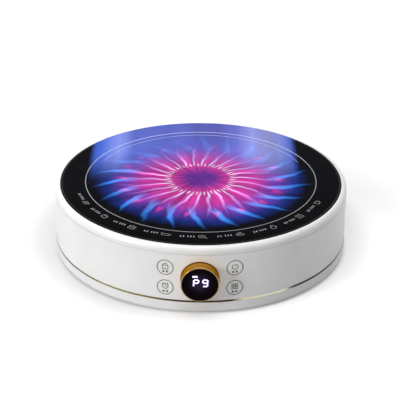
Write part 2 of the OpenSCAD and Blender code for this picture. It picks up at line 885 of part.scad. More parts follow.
module base_screws() {
    color("silver") at_case_screws() translate([0, 0, seat_z]) screw_up(case_screw_l);
}

module cord_gland() {
    color([0.1, 0.1, 0.1]) translate([0, 0, gland_z]) {
        tube_y(gland_bore_r, gland_ro, gland_in_y - gland_flange_t, gland_out_y + gland_flange_t);
        tube_y(gland_bore_r, gland_flange_r, gland_out_y, gland_out_y + gland_flange_t);
        tube_y(gland_bore_r, gland_flange_r, gland_in_y - gland_flange_t, gland_in_y);
    }
}

// Heater

module heater_turn() {
    rotate([0, 0, terminal_turn]) children();
}

module heat_shield() {
    color("silver") difference() {
        rod_z(shield_r, shield_z, shield_top);
        rod_z(sensor_flange_r, shield_z - over, shield_top + over);
        at_shield_posts() rod_z(through_r, shield_z - over, shield_top + over);
    }
}

module shield_screws() {
    color("silver") at_shield_posts() translate([0, 0, shield_top])
        screw_down(shield_screw_l + shield_t - tip_gap);
}

// A strip bent up to a flat crest between two feet
module leaf_spring() {
    half = spring_l / 2;
    foot = half - spring_foot;
    crest = spring_crest / 2;
    points = [
        [-half, 0], [-foot, 0], [-crest, spring_h - spring_t], [crest, spring_h - spring_t], [foot, 0],
        [half, 0], [half, spring_t], [foot + spring_t / 2, spring_t], [crest + spring_t / 2, spring_h],
        [-crest - spring_t / 2, spring_h], [-foot - spring_t / 2, spring_t], [-half, spring_t]
    ];
    translate([0, spring_w / 2, 0]) rotate([90, 0, 0]) linear_extrude(spring_w) polygon(points);
}

module leaf_springs() {
    color("lightsteelblue") for (a = spring_angles) polar(spring_place, a)
        translate([0, 0, shield_top]) leaf_spring();
}

module heater_pan() {
    color("lightgray") difference() {
        rod_z(pan_r, pan_z, glass_z - pan_drop);
        rod_z(pan_r - pan_t, slab_z, glass_z);
        rod_z(sensor_hole_r, pan_z - over, slab_z + over);
        translate([0, rod_offset, limiter_z]) rod_x(ferrule_hole_r, 0, pan_r + over);
        heater_turn() block(
            [-tail_window_x - nose_wall, 0, ring_z - nose_wall],
            [tail_window_x + nose_wall, pan_r + over, ring_z + tail_window_h + nose_wall]);
    }
}

module insulation_slab() {
    color("ivory") tube_z(sensor_hole_r, filling_r, slab_z, ring_z);
}

module insulation_ring() {
    color("ivory") difference() {
        tube_z(ring_ri, filling_r, ring_z, glass_z);
        translate([0, rod_offset, limiter_z]) {
            rod_x(rod_r + loose_fit, rod_far_x - loose_fit, pan_r);
            rod_x(ferrule_hole_r, ferrule_x - loose_fit, pan_r);
        }
        heater_turn() block(
            [-tail_window_x, 0, ring_z - over], [tail_window_x, pan_r, ring_z + tail_window_h]);
    }
}

// Points of one arm of the spiral from the middle out, shifted along its radius
function arm(shift) = [for (i = [0 : coil_turns * coil_steps - 1])
    let (a = coil_first + 360 * i / coil_steps, r = coil_inner_r + coil_pitch * i / coil_steps + shift)
    r * [cos(a), sin(a)]];
// Points of the hairpin that joins both arms at the middle
function hairpin(r) = let (out = [cos(coil_first), sin(coil_first)], along = [out.y, -out.x])
    [for (a = [30 : 30 : 150]) (coil_inner_r + coil_pitch / 4) * out + r * (cos(a) * out + sin(a) * along)];
// Where a side of an arm of a given end radius turns into a side of its tail
function tail_corner(x, r) = [x, sqrt(r * r - x * x)];
function reversed(list) = [for (i = [len(list) - 1 : -1 : 0]) list[i]];

// One unbroken ribbon on edge. The first arm runs in from its tail to the hairpin, and the second arm
// runs out between its turns to the other tail.
module heating_coil() {
    half = coil_t / 2;
    shift = coil_pitch / 2;
    end_y = nose_y - loose_fit;
    end_r = coil_inner_r + coil_pitch * coil_turns;
    color("orangered") heater_turn() translate([0, 0, ring_z]) linear_extrude(coil_h) polygon(concat(
        [[tail_x + half, end_y], tail_corner(tail_x + half, end_r + shift + half)],
        reversed(arm(shift + half)), hairpin(shift / 2 + half), arm(-half),
        [tail_corner(-tail_x - half, end_r - half), [-tail_x - half, end_y]],
        [[-tail_x + half, end_y], tail_corner(-tail_x + half, end_r + half)],
        reversed(arm(half)), reversed(hairpin(shift / 2 - half)), arm(shift - half),
        [tail_corner(tail_x - half, end_r + shift - half), [tail_x - half, end_y]]));
}

module limiter_rod() {
    color("gainsboro") translate([0, rod_offset, limiter_z]) rod_x(rod_r, rod_far_x, limiter_x);
}

module limiter_switch() {
    color("wheat") translate([0, rod_offset, 0]) {
        block(
            [limiter_x, -limiter_w / 2, limiter_z + ferrule_r - limiter_h],
            [limiter_x + limiter_l, limiter_w / 2, limiter_z + ferrule_r]);
        translate([0, 0, limiter_z]) difference() {
            rod_x(ferrule_r, ferrule_x, limiter_x + over);
            rod_x(rod_r + pilot_fit, ferrule_x - over, limiter_x);
        }
    }
}

module terminal_block() {
    color("wheat") heater_turn() {
        block([-block_w / 2, block_y, block_z], [block_w / 2, block_y + block_d, block_z + block_h]);
        block(
            [-tail_window_x, nose_y, ring_z + loose_fit],
            [tail_window_x, block_y + over, ring_z + tail_window_h]);
    }
}

module temperature_sensor() {
    color("gray") {
        rod_z(sensor_r, pan_z - sensor_flange_t - sensor_tail, glass_z);
        rod_z(sensor_flange_r, pan_z - sensor_flange_t, pan_z);
    }
}

// Main board

module main_board() {
    color("darkgreen") difference() {
        block([main_x0, main_y0, main_z], [main_x1, main_y1, main_top]);
        at_board_screws() rod_z(through_r, main_z - over, main_top + over);
    }
}

module board_screws() {
    color("silver") at_board_screws() translate([0, 0, main_top])
        screw_down(board_screw_l + board_t - tip_gap);
}

module heat_sink() {
    fins = floor((sink_d - fin_t) / (fin_t + fin_gap));
    step = (sink_d - fin_t) / fins;
    color("darkgray") translate(sink_at) {
        cube([sink_l, sink_d, fin_foot]);
        for (i = [0 : fins]) translate([0, i * step, 0]) cube([sink_l, fin_t, sink_h]);
    }
}

module triac() {
    color([0.12, 0.12, 0.12]) translate(sink_at + [sink_l / 2, -triac_d, 0]) {
        block([-triac_w / 2, 0, leg_l], [triac_w / 2, triac_d, leg_l + triac_h]);
        for (i = [-1 : 1])
            block([i * leg_step - leg_w / 2, triac_d / 2, 0],
                [i * leg_step + leg_w / 2, triac_d / 2 + leg_w, leg_l + leg_w]);
    }
}

module relay() {
    color("royalblue") translate(relay_at) cube(relay_size);
}

module filter_capacitor() {
    color("gold") translate(capacitor_at) cube(capacitor_size);
}

module power_transformer() {
    color("khaki") translate(core_at) {
        cube(core_size);
        translate([(core_size.x - bobbin_size.x) / 2, (core_size.y - bobbin_size.y) / 2, bobbin_lift])
            cube(bobbin_size);
    }
}

module fuse_holder() {
    color("silver") translate(fuse_at) {
        for (x = [0, fuse_l - clip_l]) translate([x, -clip_w / 2, 0]) cube([clip_l, clip_w, fuse_lift]);
        translate([0, 0, fuse_lift]) rod_x(fuse_r, 0, fuse_l);
    }
}

module mains_tabs() {
    color("lightgray") for (place = tabs_at) translate(place) {
        block([-tab_w / 2, -tab_t, 0], [tab_w / 2, 2 * tab_t, tab_foot_h]);
        block([-tab_w / 2, 0, 0], [tab_w / 2, tab_t, tab_h]);
    }
}

module buzzer() {
    color([0.1, 0.1, 0.1]) translate(buzzer_at) difference() {
        rod_z(buzzer_r, 0, buzzer_h);
        rod_z(buzzer_hole_r, buzzer_h / 2, buzzer_h + over);
    }
}

module board_sockets() {
    half = cable_w / 2 + cable_t;
    color("white") {
        for (p = [fan_socket, sensor_socket]) translate([p.x, p.y, main_top])
            block([-socket_d / 2, -socket_h / 2, 0], [socket_d / 2, socket_h / 2, socket_h]);
        translate([cable_x, cable_socket_y, main_top])
            block([-half, -socket_d / 2, 0], [half, socket_d / 2, socket_h]);
        translate([cable_x, control_back_y, cable_socket_z])
            block([-half, 0, -socket_d / 2], [half, socket_h, socket_d / 2]);
    }
}

// Fan

module fan_frame() {
    color([0.12, 0.12, 0.12]) at_fan() difference() {
        union() {
            difference() {
                block([-fan_w / 2, -fan_w / 2, fan_z], [fan_w / 2, fan_w / 2, fan_z + fan_t]);
                rod_z(fan_bore_r, fan_z - over, fan_z + fan_t + over);
            }
            rod_z(hub_r - hub_t, fan_z, fan_z + strut_t);
            for (a = [0 : 90 : 270]) rotate([0, 0, a])
                block([0, -strut_w / 2, fan_z], [fan_bore_r + fan_rim / 2, strut_w / 2, fan_z + strut_t]);
            rod_z(fan_bearing_r, fan_z, hub_top - hub_t - 2 * air_gap);
        }
        rod_z(shaft_r + run_fit, bearing_z, fan_z + fan_t);
        for (x = [-1, 1], y = [-1, 1]) translate([x * fan_hole, y * fan_hole, 0])
            rod_z(through_r, fan_z - over, fan_z + fan_t + over);
    }
}

module fan_impeller() {
    blade_l = fan_tip_r - hub_r + hub_t / 2;
    blade_h = (hub_top - hub_z - blade_t) / cos(blade_pitch);
    color([0.2, 0.2, 0.22]) at_fan() {
        tube_z(hub_r - hub_t, hub_r, hub_z, hub_top);
        rod_z(hub_r, hub_top - hub_t, hub_top);
        rod_z(shaft_r, bearing_z + air_gap, hub_top - hub_t / 2);
        for (i = [0 : blade_count - 1]) rotate([0, 0, i * 360 / blade_count])
            translate([hub_r - hub_t / 2, 0, (hub_z + hub_top) / 2]) rotate([blade_pitch, 0, 0])
                translate([0, -blade_t / 2, -blade_h / 2]) cube([blade_l, blade_t, blade_h]);
    }
}

module fan_screws() {
    color("silver") at_fan_screws() translate([0, 0, fan_z + fan_t]) screw_down(fan_t + fan_screw_bite);
}

// Controls

module control_board() {
    color("darkgreen") difference() {
        block([-control_w / 2, control_y, knob_z - control_h / 2],
            [control_w / 2, control_back_y, knob_z + control_h / 2]);
        at_control_posts() rod_y(small_screw_r + through_fit, control_y - over, control_back_y + over);
    }
}

module control_screws() {
    color("silver") at_control_posts() {
        rod_y(small_screw_r, control_y - small_screw_l + tip_gap, control_back_y);
        rod_y(small_head_r, control_back_y, control_back_y + small_head_h);
    }
}

module push_switches() {
    color([0.15, 0.15, 0.15]) at_buttons() difference() {
        block([-switch_w / 2, switch_y, -switch_w / 2], [switch_w / 2, control_y, switch_w / 2]);
        rod_y(switch_bore_r, switch_y - over, switch_y + switch_bore_d);
    }
}

module led_display() {
    color([0.08, 0.08, 0.08]) at_knob() {
        block([-display_w / 2, display_y, -display_h / 2], [display_w / 2, display_rear_y, display_h / 2]);
        for (i = [0 : pin_count - 1], row = [-1, 1])
            translate([pin_edge - display_w / 2 + i * pin_step, 0, row * (display_h / 2 - 2 * pin_edge)])
                block([-pin_w / 2, display_rear_y - over, -pin_w / 2], [pin_w / 2, control_y, pin_w / 2]);
    }
}

module display_barrel() {
    color([0.1, 0.1, 0.1]) at_knob() tube_y(barrel_ri, barrel_ro, lens_back_y, control_y);
}

module display_window() {
    color([0.04, 0.03, 0.05]) at_knob() rod_y(lens_r, lens_y, lens_back_y);
}

module encoder_stator() {
    color([0.15, 0.15, 0.16]) at_knob() {
        tube_y(barrel_ro + loose_fit, stator_ro, stator_y, control_y);
        tube_y(stator_ri, stator_ro, lip_y, control_y);
        tube_y(lip_ri, stator_ro, lip_y, lip_back_y);
    }
}

module knob_profile() {
    translate([knob_ring_ri, knob_y + knob_round]) square([knob_skin, knob_rear_y - knob_y - knob_round]);
    translate([knob_ring_ri, knob_y]) square([knob_skin - knob_round, knob_round + over]);
    translate([knob_r - knob_round, knob_y + knob_round]) mirror([0, 1]) quarter_2d(knob_round);
}

module knob_ring() {
    color("goldenrod") at_knob() rotate([-90, 0, 0]) rotate_extrude() knob_profile();
}

module knob_sleeve() {
    color([0.1, 0.1, 0.1]) at_knob() {
        tube_y(sleeve_ri, sleeve_ro, sleeve_y, knob_rear_y);
        tube_y(sleeve_ri, tail_ro, sleeve_y, rotor_rear_y);
    }
}

module encoder_rotor() {
    color("gray") at_knob() tube_y(rotor_ri, rotor_ro, rotor_y, rotor_rear_y);
}

// A cap flush with the body's side, with the flange that keeps it in and the stem that pushes
module button(column, row) {
    color("white") intersection() {
        at_button(column, row) {
            rod_y(button_r, face_y, flange_back_y);
            rod_y(flange_r, flange_y, flange_back_y);
            rod_y(stem_r, flange_y, plunger_y);
        }
        rod_z(body_r, 0, body_h);
    }
}

module plunger(column, row) {
    color("saddlebrown") at_button(column, row) rod_y(plunger_r, plunger_y, switch_y + plunger_in);
}

module lock_button() {
    button(-1, 1);
}

module timer_button() {
    button(-1, -1);
}

module power_button() {
    button(1, 1);
}

module mode_button() {
    button(1, -1);
}

module lock_plunger() {
    plunger(-1, 1);
}

module timer_plunger() {
    plunger(-1, -1);
}

module power_plunger() {
    plunger(1, 1);
}

module mode_plunger() {
    plunger(1, -1);
}

// Wires

// A point beside the terminal block, at a radius, a shift along the block and a height
function by_block(r, shift, z) = [
    r * cos(terminal_angle) + shift * sin(terminal_angle),
    r * sin(terminal_angle) - shift * cos(terminal_angle), z];

module heater_leads() {
    start_r = block_y + block_d + 2 * loose_fit;
    drop_r = shield_r + lead_gap;
    color("firebrick") for (i = [0, 1]) {
        shift = (2 * i - 1) * block_w / 4;
        tab = tabs_at[i];
        wire([
            by_block(start_r, shift, block_z + block_h / 2),
            by_block(start_r + wire_straight, shift, block_z + block_h / 2),
            by_block(drop_r, shift, shield_top + lead_bend),
            by_block(drop_r, shift, shield_z - lead_bend),
            tab + [0, 2 * lead_bend, lead_bend],
            tab + [0, tab_t + wire_straight, lead_bend],
            tab + [0, tab_t + 2 * loose_fit, lead_bend]
        ], wire_r, [sin(terminal_angle), -cos(terminal_angle), 0]);
    }
}

module fan_lead() {
    side_x = fan_x - fan_w / 2 - air_gap;
    end_z = fan_z + fan_t / 2;
    color("black") for (i = [-1, 1]) wire([
        [fan_socket.x, fan_socket.y + i * wire_gap, main_top + socket_h + loose_fit],
        [fan_socket.x, fan_socket.y + i * wire_gap, main_top + socket_h + wire_straight],
        [side_x - 2 * wire_straight, fan_socket.y + i * wire_gap, end_z + wire_straight],
        [side_x - wire_straight, fan_socket.y + i * wire_gap, end_z],
        [side_x, fan_socket.y + i * wire_gap, end_z]
    ], thin_wire_r, [0, 1, 0]);
}

module sensor_lead() {
    start_z = pan_z - sensor_flange_t - sensor_tail - loose_fit;
    color("ivory") for (i = [-1, 1]) wire([
        [i * wire_gap, 0, start_z],
        [i * wire_gap, 0, start_z - wire_straight],
        [sensor_socket.x / 2 + i * wire_gap, sensor_socket.y / 2, shield_z - wire_straight],
        [sensor_socket.x + i * wire_gap, sensor_socket.y, main_top + socket_h + wire_straight],
        [sensor_socket.x + i * wire_gap, sensor_socket.y, main_top + socket_h + loose_fit]
    ], thin_wire_r, [1, 0, 0]);
}

// A flat cable from the control board's socket under the heat shield to the main board's socket
module control_cable() {
    start = control_back_y + socket_h;
    bend = start + wire_straight;
    half = cable_t / 2;
    end_z = main_top + socket_h;
    run_z = end_z + wire_straight;
    route = [[start, cable_socket_z], [bend, cable_socket_z], [bend + wire_straight, run_z]];
    color("lightgray") translate([cable_x - cable_w / 2, 0, 0]) rotate([90, 0, 90]) linear_extrude(cable_w)
        polygon(concat(
            [for (p = route) p - [0, half]],
            [[cable_socket_y - half, run_z - half], [cable_socket_y - half, end_z]],
            [[cable_socket_y + half, end_z], [cable_socket_y + half, run_z + half]],
            [for (p = reversed(route)) p + [0, half]]));
}

base_tray();
trim_band();
side_shell();
top_bezel();
glass_seal();
glass_top();
rubber_feet();
base_screws();
cord_gland();
heat_shield();
shield_screws();
leaf_springs();
heater_pan();
insulation_slab();
insulation_ring();
heating_coil();
limiter_rod();
limiter_switch();
terminal_block();
temperature_sensor();
main_board();
board_screws();
heat_sink();
triac();
relay();
filter_capacitor();
power_transformer();
fuse_holder();
mains_tabs();
buzzer();
board_sockets();
fan_frame();
fan_impeller();
fan_screws();
control_board();
control_screws();
push_switches();
led_display();
display_barrel();
display_window();
encoder_stator();
knob_ring();
knob_sleeve();
encoder_rotor();
lock_button();
timer_button();
power_button();
mode_button();
lock_plunger();
timer_plunger();
power_plunger();
mode_plunger();
heater_leads();
fan_lead();
sensor_lead();
control_cable();
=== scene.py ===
"""Looks of a round electric ceramic tea stove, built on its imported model.

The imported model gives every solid. This script dresses each of them, lays the prints and the lit
readout on them, and sets up the studio and the camera. The stove's lengths are in millimetres until
a mesh or a material is made, and the studio's are in metres.
"""

import logging
import math
from collections.abc import Callable
from dataclasses import dataclass
from enum import Enum
from typing import ClassVar

import bpy
import numpy as np
from mathutils import Matrix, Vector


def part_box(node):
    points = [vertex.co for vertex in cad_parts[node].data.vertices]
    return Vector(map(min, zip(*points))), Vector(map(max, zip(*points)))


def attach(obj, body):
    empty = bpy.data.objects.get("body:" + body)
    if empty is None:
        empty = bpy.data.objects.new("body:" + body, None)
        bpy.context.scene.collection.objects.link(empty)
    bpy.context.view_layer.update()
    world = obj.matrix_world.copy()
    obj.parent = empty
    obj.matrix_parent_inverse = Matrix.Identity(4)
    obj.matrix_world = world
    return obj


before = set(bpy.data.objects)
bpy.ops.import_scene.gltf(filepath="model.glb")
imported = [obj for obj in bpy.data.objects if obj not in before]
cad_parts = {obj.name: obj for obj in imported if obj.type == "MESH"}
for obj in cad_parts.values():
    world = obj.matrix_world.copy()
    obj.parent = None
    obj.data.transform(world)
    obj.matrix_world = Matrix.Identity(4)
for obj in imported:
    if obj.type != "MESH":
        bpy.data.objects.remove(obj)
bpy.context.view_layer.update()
LOG = logging.getLogger("tea_stove")
MM = 0.001
WHITE = "#FFFFFF"
# A stroke's corner is lengthened by one over its half angle's cosine, which counts as this or more
LEAST_COSINE = 0.5
# A direction is divided by its length, which counts as this or more
LEAST_LENGTH = 1e-6
# A noise texture's colour lies about this
NOISE_MIDDLE = (0.5, 0.5, 0.5)

Tree = bpy.types.NodeTree
Socket = bpy.types.NodeSocket
Colour = tuple[float, float, float, float]
Tones = tuple[tuple[float, str], ...]
Range = tuple[float, float]
Point = tuple[float, float, float]
Place = Callable[[np.ndarray], np.ndarray]


def linear(hex_text: str) -> Colour:
    """Turns an sRGB colour to linear light.

    Args:
        hex_text: a hash sign and six hex digits.

    Returns:
        Red, green and blue, and an alpha of 1.
    """
    share = np.array([int(hex_text[i:i + 2], 16) for i in (1, 3, 5)]) / 255
    light = np.where(share <= 0.04045, share / 12.92, ((share + 0.055) / 1.055) ** 2.4)
    return (*light.tolist(), 1.0)


def per_metre(size_mm: float) -> float:
    """Gives a texture's scale from the real size of its pattern in millimetres."""
    return 1 / (size_mm * MM)


def feed(node: bpy.types.Node, inputs: dict) -> None:
    """Sets or links a node's inputs.

    Args:
        node: the node.
        inputs: socket name or number to a value, or to the output that feeds it.
    """
    for socket, value in inputs.items():
        if isinstance(value, Socket):
            node.id_data.links.new(value, node.inputs[socket])
        else:
            node.inputs[socket].default_value = value


def add_node(
    tree: Tree, kind: str, inputs: dict | None = None, output: str = "", stops: Tones = (),
    **settings: object,
) -> Socket:
    """Adds a node with its settings and links.

    Args:
        tree: the node tree that takes the node.
        kind: the node's type name, without its first part.
        inputs: socket name or number to a value, or to the output that feeds it.
        output: the name of the output to give, or nothing for the first one in use.
        stops: a colour ramp's tones, from its start to its end.
        settings: the node's own properties.

    Returns:
        The node's output.
    """
    made = tree.nodes.new(f"ShaderNode{kind}")
    for name, value in settings.items():
        setattr(made, name, value)
    feed(made, inputs or {})
    for i, (place, colour) in enumerate(stops):
        ramp = made.color_ramp.elements
        stop = ramp[i] if i < len(ramp) else ramp.new(1.0)
        stop.position = (place - stops[0][0]) / (stops[-1][0] - stops[0][0])
        stop.color = linear(colour)
    return made.outputs[output] if output else next(some for some in made.outputs if some.enabled)


@dataclass(frozen=True)
class Finish:
    """A surface: its material's name, its colours and the shader's plain settings.

    Where the front is given another colour, it fades to the main one between two places along Y.
    """

    name: str
    colour: str
    roughness: float
    metallic: float = 0.0
    ior: float = 1.5
    edge_tint: str = WHITE
    front_colour: str = ""
    front_mm: Range = (0.0, 0.0)

    def material(self) -> bpy.types.Material:
        """Makes the material at its first use.

        Returns:
            The one material of this finish.
        """
        made = bpy.data.materials.get(self.name)
        if made is None:
            made = bpy.data.materials.new(self.name)
            made.use_nodes = True
            shader = made.node_tree.nodes["Principled BSDF"]
            feed(shader, {
                "Base Color": linear(self.colour), "Roughness": self.roughness,
                "Metallic": self.metallic, "IOR": self.ior, "Specular Tint": linear(self.edge_tint),
            })
            feed(shader, self.pattern(made.node_tree))
        return made

    def pattern(self, tree: Tree) -> dict[str, Socket | float]:
        """Gives the shader's inputs that come from the surface's own pattern."""
        raise NotImplementedError

    def colour_at(self, tree: Tree, where: Socket) -> Colour | Socket:
        """Gives the colour at a place.

        Args:
            tree: the material's node tree.
            where: the place on the piece.

        Returns:
            The colour, or the output that holds it.
        """
        if not self.front_colour:
            return linear(self.colour)
        axes = add_node(tree, "SeparateXYZ", {"Vector": where}).node.outputs
        start, end = self.front_mm
        share = add_node(
            tree, "MapRange", {"Value": axes["Y"], "From Min": start * MM, "From Max": end * MM})
        return add_node(
            tree, "Mix",
            {"Factor": share, "A": linear(self.front_colour), "B": linear(self.colour)},
            data_type="RGBA")


@dataclass(frozen=True)
class Patterned(Finish):
    """A surface with a relief, and with a second tone where its shade pattern is strong."""

    shade: str = "#000000"
    shade_share: float = 0.05
    shade_from: Range = (0.3, 0.7)
    depth_mm: float = 0.01
    strength: float = 0.6
    gloss_spread: float = 0.12

    def noises(self, tree: Tree, where: Socket) -> tuple[Socket, Socket]:
        """Gives the relief and the shade pattern at a place."""
        raise NotImplementedError

    def pattern(self, tree: Tree) -> dict[str, Socket | float]:
        """Makes colour from the shade pattern, and gloss and bump from the relief.

        Args:
            tree: the material's node tree.

        Returns:
            The shader's inputs and what feeds them.
        """
        where = add_node(tree, "TexCoord", output="Object")
        relief, cloud = self.noises(tree, where)
        share = add_node(
            tree, "MapRange",
            {"Value": cloud, "From Min": self.shade_from[0], "From Max": self.shade_from[1],
             "To Max": self.shade_share})
        tint = add_node(
            tree, "Mix",
            {"Factor": share, "A": self.colour_at(tree, where), "B": linear(self.shade)},
            data_type="RGBA")
        gloss = add_node(
            tree, "MapRange",
            {"Value": relief, "To Min": (1 - self.gloss_spread) * self.roughness,
             "To Max": (1 + self.gloss_spread) * self.roughness})
        bump = add_node(
            tree, "Bump",
            {"Height": relief, "Distance": self.depth_mm * MM, "Strength": self.strength})
        return {"Base Color": tint, "Roughness": gloss, "Normal": bump}


@dataclass(frozen=True)
class Moulded(Patterned):
    """A moulded skin: the grain of the tool, and a faint unevenness of colour.

    The real grain is about 0.1 mm wide. It is drawn several times as coarse, so that it shows.
    """

    grain_mm: float = 0.8
    grain_detail: float = 2.0
    cloud_mm: float = 45.0
    cloud_detail: float = 4.0

    def noises(self, tree: Tree, where: Socket) -> tuple[Socket, Socket]:
        """Gives the grain as relief, and wide clouds as shade pattern."""
        grain, cloud = (
            add_node(
                tree, "TexNoise", {"Vector": where, "Scale": per_metre(size), "Detail": detail})
            for size, detail in (
                (self.grain_mm, self.grain_detail), (self.cloud_mm, self.cloud_detail)))
        return grain, cloud


@dataclass(frozen=True)
class Worked(Patterned):
    """A worked metal: the marks of a brush, a roller or a lathe.

    A mark's size along an axis is its spacing there, and a large size stretches the marks along
    that axis. Real marks are under 0.1 mm apart. They are drawn coarser, so that they show.
    """

    shade_share: float = 0.25
    shade_from: Range = (0.35, 0.75)
    depth_mm: float = 0.004
    strength: float = 0.5
    gloss_spread: float = 0.25
    mark_mm: Point = (1.0, 1.0, 1.0)
    mark_detail: float = 3.0

    def noises(self, tree: Tree, where: Socket) -> tuple[Socket, Socket]:
        """Gives the marks as relief and as shade pattern.

        Args:
            tree: the material's node tree.
            where: the place on the piece.

        Returns:
            The same pattern twice.
        """
        stretched = add_node(
            tree, "Mapping",
            {"Vector": where, "Scale": [per_metre(size) for size in self.mark_mm]})
        marks = add_node(
            tree, "TexNoise", {"Vector": stretched, "Scale": 1.0, "Detail": self.mark_detail})
        return marks, marks


@dataclass(frozen=True)
class PaintedReflectionPlate(Worked):
    """A plated film with painted reflections, in tones round the upright axis.

    The tones lie by degrees from -180 to 180.
    """

    tones: Tones = ()

    def colour_at(self, tree: Tree, where: Socket) -> Colour | Socket:
        """Gives the painted reflection's tone at the angle round the axis.

        Args:
            tree: the material's node tree.
            where: the place on the piece.

        Returns:
            The output with the tone.
        """
        axes = add_node(tree, "SeparateXYZ", {"Vector": where}).node.outputs
        angle = add_node(tree, "Math", {0: axes["Y"], 1: axes["X"]}, operation="ARCTAN2")
        turn = add_node(tree, "MapRange", {"Value": angle, "From Min": -math.pi, "From Max": math.pi})
        return add_node(tree, "ValToRGB", {"Fac": turn}, stops=self.tones)


@dataclass(frozen=True)
class CopperBoard(Finish):
    """Glass-fibre laminate under solder resist, with paler tracks where copper lies below.

    Real tracks are about 0.3 mm wide. They are drawn in cells of 2.4 mm, so that they show.
    """

    track_mm: float = 2.4
    track_colour: str = "#3E8A4C"
    track_from: Range = (0.42, 0.5)
    track_height_mm: float = 0.03
    track_strength: float = 0.5

    def pattern(self, tree: Tree) -> dict[str, Socket | float]:
        """Makes tracks along the borders of square cells.

        Args:
            tree: the material's node tree.

        Returns:
            The shader's inputs and what feeds them.
        """
        where = add_node(tree, "TexCoord", output="Object")
        cells = add_node(
            tree, "TexVoronoi", {"Vector": where, "Scale": per_metre(self.track_mm)},
            distance="CHEBYCHEV")
        start, end = self.track_from
        track = add_node(tree, "MapRange", {"Value": cells, "From Min": start, "From Max": end})
        tint = add_node(
            tree, "Mix",
            {"Factor": track, "A": linear(self.colour), "B": linear(self.track_colour)},
            data_type="RGBA")
        bump = add_node(
            tree, "Bump",
            {"Height": track, "Distance": self.track_height_mm * MM,
             "Strength": self.track_strength})
        return {"Base Color": tint, "Normal": bump}


@dataclass(frozen=True)
class Glowing(Finish):
    """A surface that gives off a share of its own colour."""

    glow: float = 0.3

    def pattern(self, tree: Tree) -> dict[str, Socket | float]:
        """Gives one tint to colour and emission."""
        tint = self.colour_at(tree, add_node(tree, "TexCoord", output="Object"))
        return {"Base Color": tint, "Emission Color": tint, "Emission Strength": self.glow}


@dataclass(frozen=True)
class PetalRing:
    """One ring of curved petals in the print under the glass, in millimetres and degrees.

    A point is on a petal where the cosine of its turned angle is over a threshold. The threshold
    rises with the radius, so each petal narrows to a tip. A hollow petal is brightest along its
    edge, and each petal fades in over its foot, a share of its length.
    """

    colour: str
    count: int
    inner: float
    outer: float
    threshold: float
    edge: float
    twist_per_mm: float
    start: float = 0.0
    share: float = 1.0
    hollow: float = 0.0
    hollow_edges: float = 3.0
    foot: float = 0.35

    def over(self, tree: Tree, radius: Socket, angle: Socket, under: Socket) -> Socket:
        """Screens the petals over a colour.

        Args:
            tree: the material's node tree.
            radius: the distance from the axis in millimetres.
            angle: the angle round the axis in radians.
            under: the colour below.

        Returns:
            The colour with the petals on it.
        """
        twist, start = (math.radians(turn) * self.count for turn in (self.twist_per_mm, self.start))
        bend = add_node(tree, "Math", {0: radius, 1: twist, 2: start}, operation="MULTIPLY_ADD")
        turned = add_node(
            tree, "Math", {0: angle, 1: float(self.count), 2: bend}, operation="MULTIPLY_ADD")
        wave = add_node(tree, "Math", {0: turned}, operation="COSINE")
        threshold = add_node(
            tree, "MapRange",
            {"Value": radius, "From Min": self.inner, "From Max": self.outer,
             "To Min": self.threshold, "To Max": 1.0})
        inside = add_node(tree, "Math", {0: wave, 1: threshold}, operation="SUBTRACT")
        foot_end = self.inner + self.foot * (self.outer - self.inner)
        share, fill, foot = (
            add_node(
                tree, "MapRange",
                {"Value": value, "From Min": low, "From Max": high, "To Min": first, "To Max": last},
                interpolation_type="SMOOTHSTEP")
            for value, (low, high), (first, last) in (
                (inside, (0.0, self.edge), (0.0, self.share)),
                (inside, (self.edge, self.hollow_edges * self.edge), (1.0, 1 - self.hollow)),
                (radius, (self.inner, foot_end), (0.0, 1.0))))
        for mask in (fill, foot):
            share = add_node(tree, "Math", {0: share, 1: mask}, operation="MULTIPLY")
        return add_node(
            tree, "Mix", {"Factor": share, "A": under, "B": linear(self.colour)},
            data_type="RGBA", blend_type="SCREEN")


